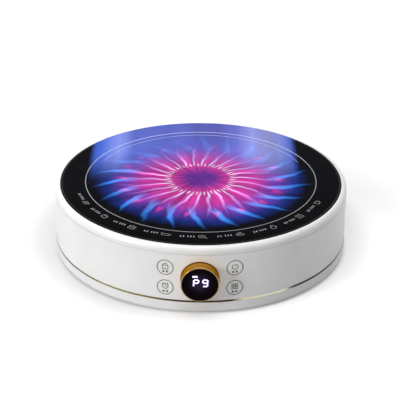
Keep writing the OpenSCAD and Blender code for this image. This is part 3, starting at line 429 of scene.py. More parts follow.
@dataclass(frozen=True)
class CeramicGlass(Glowing):
    """Polished glass ceramic over a printed rosette that glows with painted light.

    The core's tones lie along the radius, and the painted reflection's tones along X. The painted
    reflection on the back part starts between two places along Y, and further to the front at its
    sides by the slope.
    """

    core: Tones = ()
    petals: tuple[PetalRing, ...] = ()
    wobble_mm: float = 24.0
    wobble_depth: float = 9.0
    wobble_detail: float = 1.5
    ray_count: float = 7.0
    ray_detail: float = 3.0
    ray_from: Range = (0.35, 0.65)
    ray_depth: float = 0.45
    # A painted reflection on the back part of the glass, with its streaks
    reflection_tones: Tones = ()
    reflection_from: Range = (20.0, 95.0)
    reflection_slope: float = 0.35
    reflection_middle: float = -7.5
    reflection_half: float = 100.0
    reflection_edge: float = 8.0
    reflection_share: float = 0.95
    streak_mm: Range = (26.0, 260.0)
    streak_detail: float = 2.0
    streak_from: Range = (0.3, 0.7)
    streak_veil: Range = (0.75, 1.0)
    # A painted highlight along the glass's edge: its colour, radius and width
    edge_highlight_colour: str = "#343436"
    edge_highlight_radius: float = 137.9
    edge_highlight_width: float = 0.8

    def colour_at(self, tree: Tree, where: Socket) -> Colour | Socket:
        """Lays a painted reflection over the rosette, and a painted edge highlight over both.

        Args:
            tree: the material's node tree.
            where: the place on the piece.

        Returns:
            The output with the colour.
        """
        flat = add_node(tree, "Mapping", {"Vector": where, "Scale": (per_metre(1), per_metre(1), 0)})
        colour = self.reflection_over(tree, flat, self.rosette(tree, flat))
        # A painted highlight along the glass's edge is a fine pale line close to the rim
        away = add_node(tree, "VectorMath", {0: flat}, operation="LENGTH")
        beside = add_node(
            tree, "Math", {0: away, 1: self.edge_highlight_radius, 2: self.edge_highlight_width / 2},
            operation="COMPARE")
        return add_node(
            tree, "Mix", {"Factor": beside, "A": colour, "B": linear(self.edge_highlight_colour)},
            data_type="RGBA", blend_type="LIGHTEN")

    def rosette(self, tree: Tree, flat: Socket) -> Socket:
        """Lays the rings of petals over the core, and fine dark rays over them.

        Args:
            tree: the material's node tree.
            flat: the place on the glass in millimetres.

        Returns:
            The rosette's colour.
        """
        # Licking edges: the place that the petals read is shifted by noise
        noise = add_node(
            tree, "TexNoise",
            {"Vector": flat, "Scale": 1 / self.wobble_mm, "Detail": self.wobble_detail},
            output="Color")
        shift = add_node(tree, "VectorMath", {0: noise, 1: NOISE_MIDDLE}, operation="SUBTRACT")
        licked = add_node(
            tree, "VectorMath",
            {0: shift, 1: (self.wobble_depth, self.wobble_depth, 0), 2: flat},
            operation="MULTIPLY_ADD")
        radius = add_node(tree, "VectorMath", {0: licked}, operation="LENGTH")
        axes = add_node(tree, "SeparateXYZ", {"Vector": licked}).node.outputs
        angle = add_node(tree, "Math", {0: axes["Y"], 1: axes["X"]}, operation="ARCTAN2")
        outwards = add_node(tree, "MapRange", {"Value": radius, "From Max": self.core[-1][0]})
        colour = add_node(tree, "ValToRGB", {"Fac": outwards}, stops=self.core)
        for ring in self.petals:
            colour = ring.over(tree, radius, angle, colour)
        # Fine rays from the middle: noise that depends on the direction alone
        towards = add_node(tree, "VectorMath", {0: flat}, operation="NORMALIZE")
        rays = add_node(
            tree, "TexNoise",
            {"Vector": towards, "Scale": self.ray_count, "Detail": self.ray_detail})
        veil = add_node(
            tree, "MapRange",
            {"Value": rays, "From Min": self.ray_from[0], "From Max": self.ray_from[1],
             "To Min": 1 - self.ray_depth})
        return add_node(
            tree, "Mix", {"Factor": 1.0, "A": colour, "B": veil},
            data_type="RGBA", blend_type="MULTIPLY")

    def reflection_over(self, tree: Tree, flat: Socket, under: Socket) -> Socket:
        """Lays a painted reflection over the back of the glass, with streaks that run front to back.

        Args:
            tree: the material's node tree.
            flat: the place on the glass in millimetres.
            under: the colour below.

        Returns:
            The colour with the haze on it.
        """
        axes = add_node(tree, "SeparateXYZ", {"Vector": flat}).node.outputs
        aside = add_node(tree, "Math", {0: axes["X"], 1: self.reflection_middle}, operation="SUBTRACT")
        side = add_node(tree, "Math", {0: aside}, operation="ABSOLUTE")
        depth = add_node(
            tree, "Math", {0: side, 1: self.reflection_slope, 2: axes["Y"]}, operation="MULTIPLY_ADD")
        across = add_node(
            tree, "Mapping",
            {"Vector": flat, "Scale": (1 / self.streak_mm[0], 1 / self.streak_mm[1], 0)})
        streak = add_node(
            tree, "TexNoise", {"Vector": across, "Scale": 1.0, "Detail": self.streak_detail})
        share, width, veil = (
            add_node(
                tree, "MapRange",
                {"Value": value, "From Min": low, "From Max": high, "To Min": first, "To Max": last},
                interpolation_type=kind)
            for value, (low, high), (first, last), kind in (
                (depth, self.reflection_from, (0.0, self.reflection_share), "SMOOTHSTEP"),
                (side, (self.reflection_half, self.reflection_half + self.reflection_edge), (1.0, 0.0), "SMOOTHSTEP"),
                (streak, self.streak_from, self.streak_veil, "LINEAR")))
        for mask in (width, veil):
            share = add_node(tree, "Math", {0: share, 1: mask}, operation="MULTIPLY")
        along = add_node(
            tree, "MapRange",
            {"Value": axes["X"], "From Min": self.reflection_tones[0][0],
             "From Max": self.reflection_tones[-1][0]})
        light = add_node(tree, "ValToRGB", {"Fac": along}, stops=self.reflection_tones)
        return add_node(tree, "Mix", {"Factor": share, "A": under, "B": light}, data_type="RGBA")


@dataclass(frozen=True)
class SmokedAcrylic(Glowing):
    """Polished dark acrylic, with a painted bloom of light round the lit digits behind it."""

    glow: float = 0.25
    bloom: str = "#4A3A62"
    bloom_at: Point = (0.0, 0.0, 0.0)
    bloom_mm: float = 13.0
    bloom_share: float = 0.32

    def colour_at(self, tree: Tree, where: Socket) -> Colour | Socket:
        """Gives the bloom, which falls off with the distance from its middle.

        Args:
            tree: the material's node tree.
            where: the place on the piece.

        Returns:
            The output with the colour.
        """
        middle = tuple(value * MM for value in self.bloom_at)
        away = add_node(tree, "VectorMath", {0: where, 1: middle}, operation="DISTANCE")
        share = add_node(
            tree, "MapRange",
            {"Value": away, "From Max": self.bloom_mm * MM, "To Min": self.bloom_share,
             "To Max": 0.0},
            interpolation_type="SMOOTHSTEP")
        return add_node(
            tree, "Mix", {"Factor": share, "A": linear(self.colour), "B": linear(self.bloom)},
            data_type="RGBA")


@dataclass(frozen=True)
class LitSegment(Glowing):
    """A diffuser over light-emitting chips: almost white, a little cooler between the chips."""

    glow: float = 1.1
    cool: str = "#C9B8FF"
    chip_mm: float = 2.2

    def colour_at(self, tree: Tree, where: Socket) -> Colour | Socket:
        """Gives the light's colour, cooler where a point is far from the nearest chip."""
        chips = add_node(tree, "TexVoronoi", {"Vector": where, "Scale": per_metre(self.chip_mm)})
        return add_node(
            tree, "Mix", {"Factor": chips, "A": linear(self.colour), "B": linear(self.cool)},
            data_type="RGBA")


Dressing = dict[Finish, tuple[str, ...]]


class Finishes:
    """The finishes of this stove, named for what they are and how they are made."""

    # Glossy moulded ABS: a clean white with soft highlights on its rounds
    WHITE_ABS = Moulded(
        "moulded_white_abs", "#EFEFEE", 0.3, shade="#DADBDD", shade_share=0.5, depth_mm=0.002)
    # The same plastic on the buttons: a touch duller, so that they stand off the wall
    BUTTON_ABS = Moulded(
        "moulded_button_abs", "#EFEFEE", 0.32, shade="#DADBDD", shade_share=0.5, depth_mm=0.002)
    # Vacuum-plated gold: a mirror-like band with painted reflections, champagne in places, bronze in
    # others
    PLATED_BAND = PaintedReflectionPlate(
        "plated_gold_band", "#9C9466", 0.16, 1.0, shade="#4A3C1E", depth_mm=0.002,
        mark_mm=(60.0, 60.0, 0.4),
        # These tones are painted reflections round the band, pale in some places and near black in others
        tones=(
            (-180.0, "#6E6C60"), (-150.0, "#6A6A62"), (-128.0, "#A09A66"), (-113.0, "#867E4C"),
            (-101.0, "#4A3C28"), (-78.0, "#1E160C"), (-74.0, "#CDC6A4"), (-56.5, "#DAD7C4"),
            (-53.0, "#141310"), (-25.0, "#24231F"), (20.0, "#9A9264"), (90.0, "#C2B684"),
            (180.0, "#6E6C60")))
    # Fired enamel on the glass: thin pale lines, greyer at the front, bluish at the back in painted
    # reflection
    ENAMEL = Moulded(
        "fired_white_enamel", "#DCDCFF", 0.4, front_colour="#90908C", front_mm=(20.0, 95.0),
        shade="#80807C", grain_mm=0.3)
    # Pad-printed ink on the buttons: even grey lines without gloss
    PAD_INK = Moulded("pad_printed_grey_ink", "#4C4D51", 0.5, shade="#3F4043", grain_mm=0.3)
    # Light-emitting segments behind the window: clear white, cooler between the chips
    SEGMENT = LitSegment("lit_white_segment", WHITE, 0.4)
    # Moulded rubber: dull and black, with a rough skin
    RUBBER = Moulded(
        "moulded_black_rubber", "#1B1B1C", 0.75, shade="#2C2C2D", depth_mm=0.05, grain_mm=0.5)
    # Cured silicone: a dull grey bead with slow waves
    SILICONE = Moulded(
        "cured_grey_silicone", "#3A3A3B", 0.6, shade="#252526", depth_mm=0.05, grain_mm=1.5)
    # Zinc-plated steel: bright cool screw heads, finely clouded
    ZINC = Worked("zinc_plated_steel", "#A9ACAE", 0.3, 1.0, shade="#77797C", mark_mm=(0.8, 0.8, 0.8))
    # Galvanised sheet: pale grey with large soft flakes
    GALVANISED = Worked(
        "galvanised_sheet_steel", "#A3A6A8", 0.38, 1.0, shade="#7E8285", mark_mm=(9.0, 9.0, 9.0))
    # Rolled spring steel: dark and bright, lined along the strip
    SPRING = Worked("rolled_spring_steel", "#7F838A", 0.3, 1.0, shade="#4C4F55", mark_mm=(0.5, 12.0, 4.0))
    # Heating alloy after its first firing: a brown-black oxide that still shines a little
    RIBBON = Worked(
        "oxidised_heating_alloy", "#5A4038", 0.5, 1.0, shade="#2E2320", mark_mm=(3.0, 3.0, 0.4))
    # Extruded aluminium: silver, with the die's lines along the fins
    EXTRUDED = Worked(
        "extruded_aluminium", "#B9BCC0", 0.33, 1.0, shade="#8C8F93", mark_mm=(50.0, 0.5, 0.5))
    # Tinned brass: warm pale blades
    TINNED = Worked("tinned_brass", "#B5B2A6", 0.28, 1.0, shade="#8E8A7C", mark_mm=(0.7, 0.7, 3.0))
    # Pressed ceramic fibre: chalky cream with a felted surface
    FIBRE = Moulded(
        "pressed_ceramic_fibre", "#E6DFCB", 0.95, shade="#C9BEA2", shade_share=0.5, depth_mm=0.4,
        grain_mm=1.4)
    # Drawn quartz: a smooth milky tube
    QUARTZ = Moulded("drawn_quartz_tube", "#DAD8D0", 0.2, shade="#BEBBB0", shade_share=0.4, grain_mm=3.0)
    # Fired steatite: biscuit-coloured and slightly rough
    STEATITE = Moulded("fired_steatite", "#D8CBB4", 0.55, shade="#BCAD92", depth_mm=0.04, grain_mm=0.6)
    # Laminate under solder resist: satin green with paler raised tracks
    BOARD = CopperBoard("resist_coated_laminate", "#1F5C33", 0.45)
    # Moulded epoxy: dull black cases with a fine sparkle
    EPOXY = Moulded("moulded_black_epoxy", "#1D1D1F", 0.55, shade="#303033", depth_mm=0.03, grain_mm=0.4)
    # Moulded PBT in blue: the satin case of a relay
    BLUE_CASE = Moulded(
        "moulded_blue_pbt", "#2557A8", 0.4, shade="#1C4384", shade_share=0.4, grain_mm=0.6)
    # Moulded PBT in yellow: the satin box of a film capacitor
    YELLOW_CASE = Moulded(
        "moulded_yellow_pbt", "#D9AE2B", 0.4, shade="#B98F1C", shade_share=0.4, grain_mm=0.6)
    # Sintered ferrite: dark brown-grey, like fine stone
    FERRITE = Moulded("sintered_ferrite", "#3B3937", 0.6, shade="#57534F", depth_mm=0.05, grain_mm=0.5)
    # Moulded natural nylon: milky sockets
    NYLON = Moulded(
        "moulded_natural_nylon", "#E4E1D8", 0.45, shade="#CFCBC0", shade_share=0.4, grain_mm=0.7)
    # Moulded PBT in grey: the satin disc of the encoder
    GREY_PBT = Moulded("moulded_grey_pbt", "#7C7D80", 0.45, shade="#636467", grain_mm=0.6)
    # Moulded PBT in brown: satin switch plungers
    BROWN_PBT = Moulded("moulded_brown_pbt", "#6A4128", 0.45, shade="#4E2F1C", grain_mm=0.5)
    # Braided sleeve over silicone: dull red with a coarse ribbed skin
    RED_SLEEVE = Moulded(
        "braided_red_silicone", "#9E2B23", 0.6, shade="#7A1D17", depth_mm=0.15, grain_mm=0.7)
    # Extruded PVC: smooth off-white wire
    WHITE_SLEEVE = Moulded("extruded_white_pvc", "#E3E1DA", 0.45, shade="#CBC8BE", grain_mm=0.6)
    # Flat PVC cable: grey, with a groove between each two wires
    RIBBON_CABLE = Worked(
        "flat_grey_pvc_cable", "#A7A8AA", 0.5, shade="#808184", depth_mm=0.3,
        mark_mm=(1.27, 60.0, 60.0))


def new_piece(
    name: str, corners: np.ndarray, faces: np.ndarray, finish: Finish, body: str, slot: str,
) -> None:
    """Makes a mesh piece, with its object at the origin, that rides on a body.

    Args:
        name: the piece's name.
        corners: its points in millimetres, one row each.
        faces: the numbers of each face's points, one row each.
        finish: what its surface is.
        body: the body it moves with.
        slot: not used.
    """
    mesh = bpy.data.meshes.new(name)
    mesh.from_pydata((corners * MM).tolist(), [], faces.tolist())
    mesh.validate()
    mesh.update()
    mesh.materials.append(finish.material())
    piece = bpy.data.objects.new(name, mesh)
    bpy.context.scene.collection.objects.link(piece)
    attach(piece, body)
    LOG.info("%s: %d faces on %s", name, len(mesh.polygons), body)


def line(*points: Range) -> np.ndarray:
    """Gives a path through the points, one row each."""
    return np.array(points, float)


def oblong(middle: Range, half_w: float, half_h: float) -> np.ndarray:
    """Gives the corners of an upright rectangle about its middle."""
    return line((-half_w, -half_h), (half_w, -half_h), (half_w, half_h), (-half_w, half_h)) + middle


def arc(
    middle: Range, radius: float, start: float = 0.0, end: float = 360.0, height: float = 0.0,
    steps: int = 24,
) -> np.ndarray:
    """Gives points along an arc of a circle or of an upright ellipse.

    A point lies at the middle plus the radius times the cosine, and the height times the sine, of
    an angle that runs evenly from start to end. A full turn leaves out its last point.

    Args:
        middle: the arc's middle.
        radius: half its width.
        start: the first angle in degrees.
        end: the last angle in degrees.
        height: half its height, or 0 for a circle.
        steps: the number of points.

    Returns:
        The points, one row each.
    """
    angle = np.radians(np.linspace(start, end, steps, endpoint=abs(end - start) < 360))
    return np.column_stack((np.cos(angle) * radius, np.sin(angle) * (height or radius))) + middle


def steam(u: float) -> np.ndarray:
    """Gives a wavy line over one place: it sways 0.3 mm with the sine of three times its height."""
    v = np.linspace(0.6, 2.8, 10)
    return np.column_stack((u + 0.3 * np.sin(3 * v), v))


@dataclass(frozen=True)
class Stroke:
    """One stroke of a print, in its own plane and in millimetres."""

    path: np.ndarray
    width: float
    closed: bool = False

    def moved(self, shift: Range, size: float = 1.0) -> "Stroke":
        """Gives the stroke at another size and place, with the same width."""
        return Stroke(self.path * size + shift, self.width, self.closed)

    def film(self, low: float, high: float) -> tuple[np.ndarray, np.ndarray]:
        """Carries a flat rectangle along the path.

        At each point the rectangle's sides lie half a width to the left and right, along the mean
        of both neighbouring normals, lengthened at a corner so that the stroke keeps its width.

        Args:
            low: the height of the film's underside.
            high: the height of its top.

        Returns:
            Four corners for each point of the path, as u, v and height, and the faces.
        """
        after = np.roll(self.path, -1, 0) - self.path
        if not self.closed:
            after[-1] = after[-2]
        along = after / np.linalg.norm(after, axis=1, keepdims=True)
        before = np.roll(along, 1, 0)
        if not self.closed:
            before[0] = along[0]
        mean = along + before
        mean /= np.maximum(np.linalg.norm(mean, axis=1, keepdims=True), LEAST_LENGTH)
        stretch = 1 / np.maximum(np.sum(mean * along, axis=1, keepdims=True), LEAST_COSINE)
        out = np.column_stack((-mean[:, 1], mean[:, 0])) * stretch * self.width / 2
        left, right = self.path + out, self.path - out
        sides = np.stack((left, right, right, left), 1)
        heights = np.broadcast_to(np.array([low, low, high, high]), sides.shape[:2])
        corners = np.concatenate((sides, heights[..., None]), 2).reshape(-1, 3)
        count = len(self.path)
        first = np.arange(count if self.closed else count - 1)[:, None] * 4
        second = (first + 4) % (4 * count)
        side = np.arange(4)
        following = (side + 1) % 4
        faces = np.stack(
            (first + side, second + side, second + following, first + following), 2).reshape(-1, 4)
        if not self.closed:
            faces = np.concatenate((faces, [side, 4 * count - 1 - side]))
        return corners, faces


@dataclass(frozen=True)
class Print:
    """A set of strokes that lies as a thin film of ink on a surface."""

    name: str
    strokes: list[Stroke]
    finish: Finish
    body: str
    slot: str
    low: float = -0.03
    high: float = 0.04

    def lay(self, place: Place) -> None:
        """Joins the strokes and lays them on their surface.

        Args:
            place: turns rows of u, v and height to points of the model, in millimetres.
        """
        corners, faces, count = [], [], 0
        for stroke in self.strokes:
            some_corners, some_faces = stroke.film(self.low, self.high)
            corners.append(some_corners)
            faces.append(some_faces + count)
            count += len(some_corners)
        new_piece(
            self.name, place(np.concatenate(corners)), np.concatenate(faces), self.finish,
            self.body, self.slot)


class Icon(Enum):
    """The signs on the glass and on the buttons."""

    KETTLE = "kettle"
    POT = "pot"
    BOWL = "bowl"
    TRAY = "tray"
    PAN = "pan"
    GRILL = "grill"
    STEAMER = "steamer"
    BOX = "box"
    CUP = "cup"
    LOCK = "lock"
    CLOCK = "clock"
    POWER = "power"
    GRID = "grid"

    def strokes(self, width: float) -> list[Stroke]:
        """Draws the sign about its middle, in a square of about 6 mm, with a pen of this width."""
        return [
            Stroke(path, width, closed)
            for paths, closed in zip(SIGNS[self], (True, False)) for path in paths]


# Each sign's closed outlines, and then its open lines
SIGNS: dict[Icon, tuple[list[np.ndarray], list[np.ndarray]]] = {
    Icon.KETTLE: (
        [line((-1.9, -2.2), (1.7, -2.2), (2.0, 0.4), (1.2, 1.5), (-1.2, 1.5), (-2.0, 0.4))],
        [arc((0, 1.4), 1.3, 20, 160, 1.5), line((2.0, -0.8), (3.2, 0.9))]),
    Icon.POT: (
        [],
        [line((-2.4, 0.8), (-2.2, -2.0), (2.2, -2.0), (2.4, 0.8)), line((-3.1, 0.8), (3.1, 0.8)),
         arc((0, 0.9), 2.2, 0, 180, 1.3)]),
    Icon.BOWL: (
        [],
        [arc((0, 0.2), 2.9, 180, 360, 2.4), line((-3.2, 0.2), (3.2, 0.2)),
         *(steam(u) for u in (-1.1, 0.0, 1.1))]),
    Icon.TRAY: (
        [],
        [line((-3.4, 1.0), (-2.6, -1.3), (2.6, -1.3), (3.4, 1.0)), line((-4.0, 1.0), (4.0, 1.0))]),
    Icon.PAN: (
        [arc((-0.8, 0.3), 2.5, height=1.9)],
        [line((1.2, -0.9), (3.4, -2.5)), line((-1.9, 0.3), (0.3, 0.3))]),
    Icon.GRILL: ([], [line((u - 0.9, -2.1), (u + 0.9, 2.1)) for u in (-2.2, -0.8, 0.8, 2.2)]),
    Icon.STEAMER: (
        [oblong((0, -1.2), 2.6, 1.1), oblong((0, 0.9), 2.6, 0.8)], [line((-0.7, 2.4), (0.7, 2.4))]),
    Icon.BOX: (
        [oblong((0, 0), 2.4, 2.3)],
        [line((-1.2, 0.8), (1.2, 0.8)), line((-1.2, -0.6), (1.2, -0.6))]),
    Icon.CUP: (
        [line((-2.2, 1.6), (-1.8, -2.0), (1.2, -2.0), (1.6, 1.6))],
        [arc((1.5, 0.1), 1.5, -80, 80, 1.1)]),
    Icon.LOCK: (
        [oblong((0, -0.9), 2.1, 1.6)],
        [arc((0, 0.7), 1.4, 0, 180, 1.8), line((0, -0.5), (0, -1.4))]),
    Icon.CLOCK: (
        [arc((0, -0.1), 2.2)],
        [line((0, 1.1), (0, -0.1), (1.0, -0.8)), line((-2.5, 1.5), (-1.3, 2.5)),
         line((1.3, 2.5), (2.5, 1.5))]),
    Icon.POWER: ([], [arc((0, -0.2), 2.2, 120, 420), line((0, 0.4), (0, 2.4))]),
    Icon.GRID: ([oblong((u, v), 0.85, 0.85) for u in (-1.3, 1.3) for v in (-1.3, 1.3)], []),
}


class SubAssembly:
    """A sub-assembly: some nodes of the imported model, what they are made of and what is on them."""

    nodes: ClassVar[Dressing] = {}

    def dressing(self) -> Dressing:
        """Gives each finish with the nodes that have it."""
        return self.nodes

    def lay_prints(self) -> None:
        """Lays the prints on the nodes, of which most have none."""

    def build(self) -> None:
        """Dresses the nodes and lays the prints on them."""
        for finish, nodes in self.dressing().items():
            for node in nodes:
                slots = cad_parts[node].data.materials
                slots.clear()
                slots.append(finish.material())
            LOG.info("%s: %s", finish.name, ", ".join(nodes))
        self.lay_prints()


class Housing(SubAssembly):
    """The case with its band, feet, screws, seal and gland."""

    nodes: ClassVar[Dressing] = {
        Finishes.WHITE_ABS: ("base_tray", "side_shell", "top_bezel"),
        Finishes.PLATED_BAND: ("trim_band",),
        Finishes.RUBBER: ("rubber_feet", "cord_gland"),
        Finishes.SILICONE: ("glass_seal",),
        Finishes.ZINC: ("base_screws",),
    }


class Heater(SubAssembly):
    """The radiant heater under the glass, with its shield, springs, cut-out and sensor."""

    nodes: ClassVar[Dressing] = {
        Finishes.GALVANISED: ("heat_shield", "heater_pan", "temperature_sensor"),
        Finishes.ZINC: ("shield_screws",),
        Finishes.SPRING: ("leaf_springs",),
        Finishes.FIBRE: ("insulation_slab", "insulation_ring"),
        Finishes.RIBBON: ("heating_coil",),
        Finishes.QUARTZ: ("limiter_rod",),
        Finishes.STEATITE: ("limiter_switch", "terminal_block"),
    }


class Electronics(SubAssembly):
    """Both boards with what is soldered to them, the fan and the wires."""

    nodes: ClassVar[Dressing] = {
        Finishes.BOARD: ("main_board", "control_board"),
        Finishes.ZINC: ("board_screws", "fan_screws", "control_screws"),
        Finishes.EXTRUDED: ("heat_sink",),
        Finishes.TINNED: ("mains_tabs", "fuse_holder"),
        Finishes.EPOXY: (
            "triac", "buzzer", "fan_frame", "fan_impeller", "push_switches", "led_display"),
        Finishes.BLUE_CASE: ("relay",),
        Finishes.YELLOW_CASE: ("filter_capacitor",),
        Finishes.FERRITE: ("power_transformer",),
        Finishes.NYLON: ("board_sockets",),
        Finishes.RED_SLEEVE: ("heater_leads",),
        Finishes.WHITE_SLEEVE: ("sensor_lead",),
        Finishes.RUBBER: ("fan_lead",),
        Finishes.RIBBON_CABLE: ("control_cable",),
    }


@dataclass
class Cooktop(SubAssembly):
    """The glass and the enamel print on it: rings, and signs with pips round the front."""

    ring_radius: float = 114.6
    ring_width: float = 0.8
    ring_steps: int = 240
    inner_ring_radius: float = 107.0
    inner_ring_width: float = 0.45
    inner_ring_ends: Range = (22.0, 158.0)
    inner_ring_steps: int = 120
    legend_radius: float = 123.2
    legend_step: float = 16.1
    legend_middle: float = -92.8
    icon_shift: float = 8.4
    icon_size: float = 1.3
    pip_start: float = -12.3
    pip_step: float = 2.7
    pip_break: float = 1.5
    pip_w: float = 1.1
    pip_h: float = 2.8
    pip_counts: tuple[int, int] = (2, 3)
    pen: float = 0.45
    icons: tuple[Icon, ...] = (
        Icon.GRILL, Icon.POT, Icon.STEAMER, Icon.TRAY, Icon.PAN, Icon.BOWL, Icon.KETTLE, Icon.BOX,
        Icon.CUP)

    def dressing(self) -> Dressing:
        """Gives the glass its finish."""
        # Polished black glass ceramic: a deep black mirror, with a printed rosette in painted glow
        return {CeramicGlass(
            "polished_black_glass_ceramic", "#0A0A0C", 0.07, ior=1.045,
            core=(
                (0.0, "#5A2C86"), (14.0, "#6A2E8E"), (26.0, "#B23690"), (52.0, "#B8388F"),
                (74.0, "#6F3AA6"), (92.0, "#1C2C7C"), (106.0, "#060710"), (139.5, "#060608")),
            petals=(
                PetalRing("#D81E78", 12, 20.0, 84.0, -0.3, 0.8, 0.2, share=0.6),
                PetalRing("#2A86F0", 22, 60.0, 112.0, -0.15, 0.6, -0.25, share=0.9, hollow=0.5),
                PetalRing("#B98CF5", 26, 30.0, 92.0, 0.0, 0.8, 0.15, 4.0, share=0.85, hollow=0.5),
                PetalRing("#E8DCFF", 26, 26.0, 58.0, 0.2, 0.7, 0.15, 4.0, share=0.95, hollow=0.2),
                PetalRing("#C8102A", 18, 72.0, 88.0, 0.35, 0.4, 0.0, share=0.8),
                PetalRing(WHITE, 26, 28.0, 40.0, 0.4, 0.5, 0.0, 2.0, share=0.9)),
            # The painted reflection's tones along X, on the back part of the glass
            reflection_tones=(
                (-112.0, "#3A5CC4"), (-104.0, "#4868D0"), (-86.0, "#8696EC"), (-70.0, "#5866BE"),
                (15.0, "#585CB0"), (38.0, "#666EC4"), (54.0, "#9098E2"), (70.0, "#868AC4"),
                (82.0, "#7C88D0"), (96.0, "#4058B4")),
        ): ("glass_top",)}

    def legend(self, icon: Icon) -> list[Stroke]:
        """Draws one sign and its two groups of pips about the middle of their place.

        Args:
            icon: the sign.

        Returns:
            The strokes, with the pips to the left of the sign.
        """
        count = np.arange(sum(self.pip_counts))
        places = self.pip_start + count * self.pip_step
        places[self.pip_counts[0]:] += self.pip_break
        pips = [Stroke(line((u, -self.pip_h / 2), (u, self.pip_h / 2)), self.pip_w) for u in places]
        sign = icon.strokes(self.pen)
        return [stroke.moved((self.icon_shift, 0), self.icon_size) for stroke in sign] + pips

    def strokes(self) -> list[Stroke]:
        """Draws the rings, and the signs with their pips along the circle.

        A sign's own right runs along the circle, and its top points to the middle of the glass.

        Returns:
            All strokes, in the plane of the glass.
        """
        inner = arc((0, 0), self.inner_ring_radius, *self.inner_ring_ends, steps=self.inner_ring_steps)
        made = [
            Stroke(arc((0, 0), self.ring_radius, steps=self.ring_steps), self.ring_width, True),
            Stroke(inner, self.inner_ring_width)]
        middle = (len(self.icons) - 1) / 2
        for i, icon in enumerate(self.icons):
            angle = math.radians(self.legend_middle + (i - middle) * self.legend_step)
            out = np.array([math.cos(angle), math.sin(angle)])
            turn = np.array([[-out[1], out[0]], [-out[0], -out[1]]])
            made += [
                Stroke(stroke.path @ turn + out * self.legend_radius, stroke.width, stroke.closed)
                for stroke in self.legend(icon)]
        return made

    def lay_prints(self) -> None:
        """Lays the enamel on the top of the glass."""
        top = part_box("glass_top")[1].z / MM
        Print("glass_print", self.strokes(), Finishes.ENAMEL, "housing", "black_ceramic_glass").lay(
            lambda rows: rows + [0, 0, top])


@dataclass
class Buttons(SubAssembly):
    """The four buttons with their plungers, and the ring, the sign and the pips on each."""

    ring_size: Range = (7.15, 7.4)
    ring_pen: float = 0.6
    ring_steps: int = 72
    icon_up: float = 1.3
    icon_size: float = 1.2
    icon_pen: float = 0.68
    pip_down: float = 4.2
    pip_step: float = 3.2
    pip_size: float = 1.9
    icons: tuple[tuple[str, Icon], ...] = (
        ("lock", Icon.LOCK), ("timer", Icon.CLOCK), ("power", Icon.POWER), ("mode", Icon.GRID))

    def dressing(self) -> Dressing:
        """Gives each finish with the nodes that have it."""
        return {
            Finishes.BUTTON_ABS: tuple(f"{name}_button" for name, _ in self.icons),
            Finishes.BROWN_PBT: tuple(f"{name}_plunger" for name, _ in self.icons),
        }

    def strokes(self, icon: Icon) -> list[Stroke]:
        """Draws one button's print about its middle.

        Args:
            icon: the button's sign.

        Returns:
            The strokes of its ring, its sign and its two pips.
        """
        half_w, half_h = self.ring_size
        ring = Stroke(arc((0, 0), half_w, height=half_h, steps=self.ring_steps), self.ring_pen, True)
        sign = icon.strokes(self.icon_pen)
        pip = Stroke(line((-self.pip_size / 2, 0), (self.pip_size / 2, 0)), self.pip_size)
        return [
            ring, *(stroke.moved((0, self.icon_up), self.icon_size) for stroke in sign),
            *(pip.moved((u, -self.pip_down)) for u in (-self.pip_step / 2, self.pip_step / 2))]

    def lay_prints(self) -> None:
        """Lays each print on the round face of its button."""
        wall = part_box("side_shell")[1].x / MM
        for name, icon in self.icons:
            low, high = (np.array(corner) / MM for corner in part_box(f"{name}_button"))
            middle = (low + high) / 2

            def on_wall(rows: np.ndarray, middle: np.ndarray = middle) -> np.ndarray:
                """Wraps u and v round the wall.

                The depth at a point is the root of the wall's radius squared less x squared.

                Args:
                    rows: u, v and height.
                    middle: the button's middle.

                Returns:
                    The points on the wall.
                """
                x = rows[:, 0] + middle[0]
                depth = np.sqrt((wall + rows[:, 2]) ** 2 - x ** 2)
                return np.column_stack((x, -depth, rows[:, 1] + middle[2]))

            Print(f"{name}_print", self.strokes(icon), Finishes.PAD_INK, name, "white_button").lay(
                on_wall)


@dataclass
class Knob(SubAssembly):
    """The gold ring that turns round the readout, with its sleeve and encoder."""

    edge_mm: float = 0.45

    def dressing(self) -> Dressing:
        """Gives each finish with the nodes that have it."""
        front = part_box("knob_ring")[0].y / MM
        # Gold-anodised aluminium, turned: fine rings round the knob, and painted shade, a duller line, at
        # its front
        gold = Worked(
            "turned_gold_anodised", "#CFA056", 0.22, 1.0, edge_tint="#CCA86E",
            front_colour="#8F7C58", front_mm=(front, front + self.edge_mm), shade="#8C6A34",
            depth_mm=0.006, mark_mm=(40.0, 0.35, 40.0))
        return {
            gold: ("knob_ring",),
            Finishes.EPOXY: ("knob_sleeve", "encoder_stator"),
            Finishes.GREY_PBT: ("encoder_rotor",),
        }


